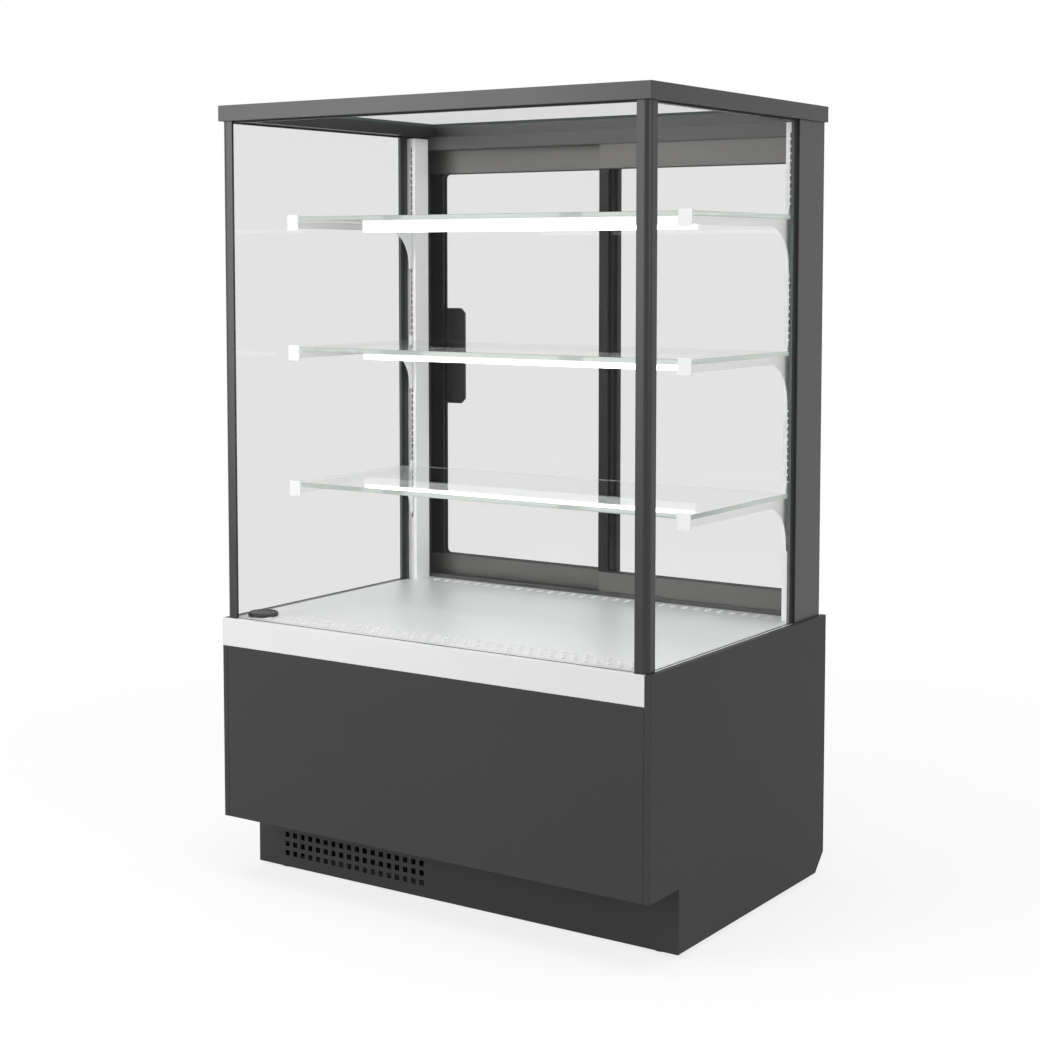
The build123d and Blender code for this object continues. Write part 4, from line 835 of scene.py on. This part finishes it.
def screw_head(radius, height, sides=12):
    """A pan head with a six-lobe socket, standing along +Z."""
    outline = [(0.0, 0.0, 1), (radius, 0.0, 1), (radius, height * 0.35, 1),
               (radius * 0.86, height * 0.8, 1), (radius * 0.55, height, 1), (radius * 0.42, height, 0.78),
               (radius * 0.40, height * 0.4, 0.78), (0.0, height * 0.35, 1)]

    def build(shape):
        rings = []
        for distance, level, lobe in outline:
            if distance == 0:
                rings.append([shape.verts.new((0, 0, level))])
                continue
            ring = []
            for k in range(sides):
                reach = distance * (lobe if k % 2 else 1)
                angle = 2 * math.pi * k / sides
                ring.append(shape.verts.new((reach * math.cos(angle), reach * math.sin(angle), level)))
            rings.append(ring)
        for first, second in zip(rings, rings[1:]):
            for k in range(sides):
                after = (k + 1) % sides
                corners = [first[k % len(first)], first[after % len(first)],
                           second[after % len(second)], second[k % len(second)]]
                shape.faces.new(list(dict.fromkeys(corners)))
        bmesh.ops.recalc_face_normals(shape, faces=shape.faces[:])
    return build


screw_zinc = plated("zinc_plated_screws")
service_low, service_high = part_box("rear_service_panel")
sill_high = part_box("rear_sill")[1]
plate_low, plate_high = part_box("control_panel")
margin = 0.011
panel_columns = (service_low.x + margin, service_low.x / 3, service_high.x / 3, service_high.x - margin)
panel_screws = [(x, service_high.y, z) for z in (service_low.z + margin, service_high.z - margin)
                for x in panel_columns]
panel_screws += [(x, service_high.y, (service_low.z + service_high.z) / 2)
                 for x in (service_low.x + margin, service_high.x - margin)]
sill_columns = (-0.42, -0.21, 0.0, 0.16, 0.42)
sill_margin = 0.020
panel_screws += [(x, service_high.y, sill_high.z - sill_margin) for x in sill_columns]
set_pieces("staff_side_screws", panel_screws, screw_head(0.0038, 0.0022), screw_zinc, "case",
           (-math.pi / 2, 0, 0), 6.28, 7)
plate_margin = 0.005
control_level = sum(corner.z for which in ("up", "down")
                    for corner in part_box(f"controller_button_{which}")) / 4
control_screws = [(x, plate_high.y, control_level)
                  for x in (plate_low.x + plate_margin, plate_high.x - plate_margin)]
set_pieces("control_screws", control_screws, screw_head(0.0022, 0.0013), screw_zinc, "case",
           (-math.pi / 2, 0, 0), 6.28, 8)


# Pile strip of the left door.
# A brush that closes the gap between the two doors where they meet: polypropylene pile woven onto
# a thin backing, which is glued to the inner face of the meeting stile.
def pile_fibre(length, root):
    """One tapered fibre of three sides that stands along +Z."""
    def build(shape):
        corners = [2 * math.pi * k / 3 for k in range(3)]
        low = [shape.verts.new((root * math.cos(angle), root * math.sin(angle), 0)) for angle in corners]
        tip = shape.verts.new((root * 1.2, 0, length))
        for k in range(3):
            shape.faces.new((low[k], low[(k + 1) % 3], tip))
        shape.faces.new(low[::-1])
        bmesh.ops.recalc_face_normals(shape, faces=shape.faces[:])
    return build


left_low, left_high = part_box("door_left_frame")
right_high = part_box("door_right_frame")[1]
pile_x = 0.011
pile_half = 0.0028
pile_backing = 0.0008
pile_ends = (left_low.z + 0.012, left_high.z - 0.012)
pile_grey = rubber("pile_strip_fibre", (0.035, 0.035, 0.036))
collect("pile_strip_backing", lambda shape: bevelled_block(
    shape, (pile_x - pile_half, left_low.y - pile_backing, pile_ends[0]),
    (pile_x + pile_half, left_low.y, pile_ends[1]), 0.0002, 1), pile_grey, "door_left")
pile_rows = 3
pile_row_pitch = 0.0016
pile_pitch = 0.0018
pile_end_margin = 0.001
pile_count = int((pile_ends[1] - pile_ends[0] - 2 * pile_end_margin) / pile_pitch)
pile_places = [(pile_x + (row - (pile_rows - 1) / 2) * pile_row_pitch, left_low.y - pile_backing + 0.0001,
                pile_ends[0] + pile_end_margin + k * pile_pitch)
               for row in range(pile_rows) for k in range(pile_count)]
pile_length = left_low.y - right_high.y - pile_backing - 0.0004
set_pieces("pile_strip_fibres", pile_places, pile_fibre(pile_length, 0.0007), pile_grey, "door_left",
           (math.pi / 2, 0, 0), 6.28, 11)


# Marks of the control plate.
# A smoked window over a lit two-figure display, raised arrows on the buttons, and line and ring
# marks on the rockers. The marks are pad-printed in white.
def smoked(name):
    window = Finish(name)
    place = window.node("TexCoord", out="Object")
    smear = window.noise(place, 90.0, 3.0)
    surface = window.node("BsdfPrincipled", {}, {
        "Base Color": window.mix(smear * 0.3, rgba(0.006, 0.004, 0.004), rgba(0.012, 0.010, 0.010)),
        "Roughness": 0.08 + smear * 0.06})
    return window.end(surface)


def lit_figure(name, shade):
    figure = Finish(name)
    place = figure.node("TexCoord", out="Object")
    grain = figure.noise(place, 900.0, 1.0)
    surface = figure.node("BsdfPrincipled", {}, {
        "Base Color": rgba(*shade), "Roughness": 0.4,
        "Emission Color": figure.mix(grain * 0.25, rgba(*shade), rgba(*(0.6 * c for c in shade))),
        "Emission Strength": 1.6})
    return figure.end(surface)


def prism(shape, corners, centre, out, right, height):
    """A flat mark with this outline: (u, v) along right and up, standing out from its centre."""
    up = out.cross(right)
    low = [shape.verts.new(centre + right * u + up * v) for u, v in corners]
    high = [shape.verts.new(centre + right * u + up * v + out * height) for u, v in corners]
    count = len(corners)
    for k in range(count):
        shape.faces.new((low[k], low[(k + 1) % count], high[(k + 1) % count], high[k]))
    shape.faces.new(low[::-1])
    shape.faces.new(high)
    bmesh.ops.recalc_face_normals(shape, faces=shape.faces[:])


REAR = Vector((0, 1, 0))
FROM_BEHIND = Vector((-1, 0, 0))
mark_height = 0.0002
display_offset = 0.031
display_recess = 0.0010
button_low, button_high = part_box("controller_button_up")
window_x = (button_low.x + button_high.x) / 2 - display_offset
window_centre = Vector((window_x, plate_high.y - display_recess, control_level))
window_half = (0.0166, 0.0086)
collect("display_window", lambda shape: bevelled_block(
    shape, (window_centre.x - window_half[0], window_centre.y, window_centre.z - window_half[1]),
    (window_centre.x + window_half[0], plate_high.y - 0.0003, window_centre.z + window_half[1]), 0.0001),
    smoked("smoked_display_window"), "case")
figure_red = lit_figure("lit_figures", (1.0, 0.10, 0.04))
BARS = {"top": (0, 1, 0), "mid": (0, 0, 0), "low": (0, -1, 0), "upper_left": (-0.5, 0.5, 1),
        "upper_right": (0.5, 0.5, 1), "lower_left": (-0.5, -0.5, 1), "lower_right": (0.5, -0.5, 1)}
FIGURES = {"3": ("top", "mid", "low", "upper_right", "lower_right"),
           "5": ("top", "mid", "low", "upper_left", "lower_right")}


def display_figures(shape):
    """Two seven-bar figures with a point between them."""
    tall = 0.0046
    reach = 0.0026
    wide = 0.0005
    face = window_centre + REAR * 0.0006
    for place, figure in ((-0.0048, "3"), (0.0048, "5")):
        for u, v, upright in (BARS[bar] for bar in FIGURES[figure]):
            middle = face + FROM_BEHIND * (place + u * 2 * reach) + Vector((0, 0, v * tall))
            along = tall / 2 - wide * 0.8 if upright else reach - wide * 1.2
            outline = [(-along, 0), (-along + wide, wide), (along - wide, wide), (along, 0),
                       (along - wide, -wide), (-along + wide, -wide)]
            if upright:
                outline = [(-across, along_bar) for along_bar, across in outline]
            prism(shape, outline, middle, REAR, FROM_BEHIND, mark_height)
    dot = [(0.0006 * math.cos(math.pi * k / 6), 0.0006 * math.sin(math.pi * k / 6)) for k in range(12)]
    prism(shape, dot, face + Vector((0, 0, -tall)), REAR, FROM_BEHIND, mark_height)


collect("display_figures", display_figures, figure_red, "case")
mark_white = moulded("white_mark_print", (0.78, 0.78, 0.76), 0.5, 900.0, 0.00005)
for direction, turn in (("up", 1), ("down", -1)):
    button_low, button_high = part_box(f"controller_button_{direction}")
    face = Vector(((button_low.x + button_high.x) / 2, button_high.y - 0.0001,
                   (button_low.z + button_high.z) / 2))
    arrow = [(-0.0018, -0.0010 * turn), (0.0018, -0.0010 * turn), (0, 0.0016 * turn)]
    collect(f"button_{direction}_arrow",
            lambda shape: prism(shape, arrow, face, REAR, FROM_BEHIND, mark_height),
            mark_white, f"button_{direction}")
bpy.context.view_layer.update()
posed = bpy.context.evaluated_depsgraph_get()
for switch, rocker in (("power_switch", "power_rocker"), ("light_switch", "light_rocker")):
    switch_low, switch_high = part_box(switch)
    middle_x, middle_z = (switch_low.x + switch_high.x) / 2, (switch_low.z + switch_high.z) / 2
    for label, rise in (("line", 0.005), ("ring", -0.005)):
        start = Vector((middle_x, switch_high.y + 0.01, middle_z + rise))
        struck, point, normal, _ = nodes[switch].ray_cast(start, -REAR, depsgraph=posed)
        if not struck:
            raise SystemExit(f"{switch}: no face under its {label} mark")
        seat = point - normal * 0.0001
        if label == "line":
            bar = [(-0.0003, -0.0016), (0.0003, -0.0016), (0.0003, 0.0016), (-0.0003, 0.0016)]
            collect(f"{rocker}_line_mark",
                    lambda shape: prism(shape, bar, seat, normal, FROM_BEHIND, mark_height),
                    mark_white, rocker)
        else:
            def ring(shape):
                up = normal.cross(FROM_BEHIND)
                for k in range(24):
                    quad = []
                    for step, radius in ((k, 0.0018), (k + 1, 0.0018), (k + 1, 0.0012), (k, 0.0012)):
                        angle = 2 * math.pi * step / 24
                        quad.append((radius * math.cos(angle), radius * math.sin(angle)))
                    prism(shape, quad, seat, normal, FROM_BEHIND, mark_height)
            collect(f"{rocker}_ring_mark", ring, mark_white, rocker)
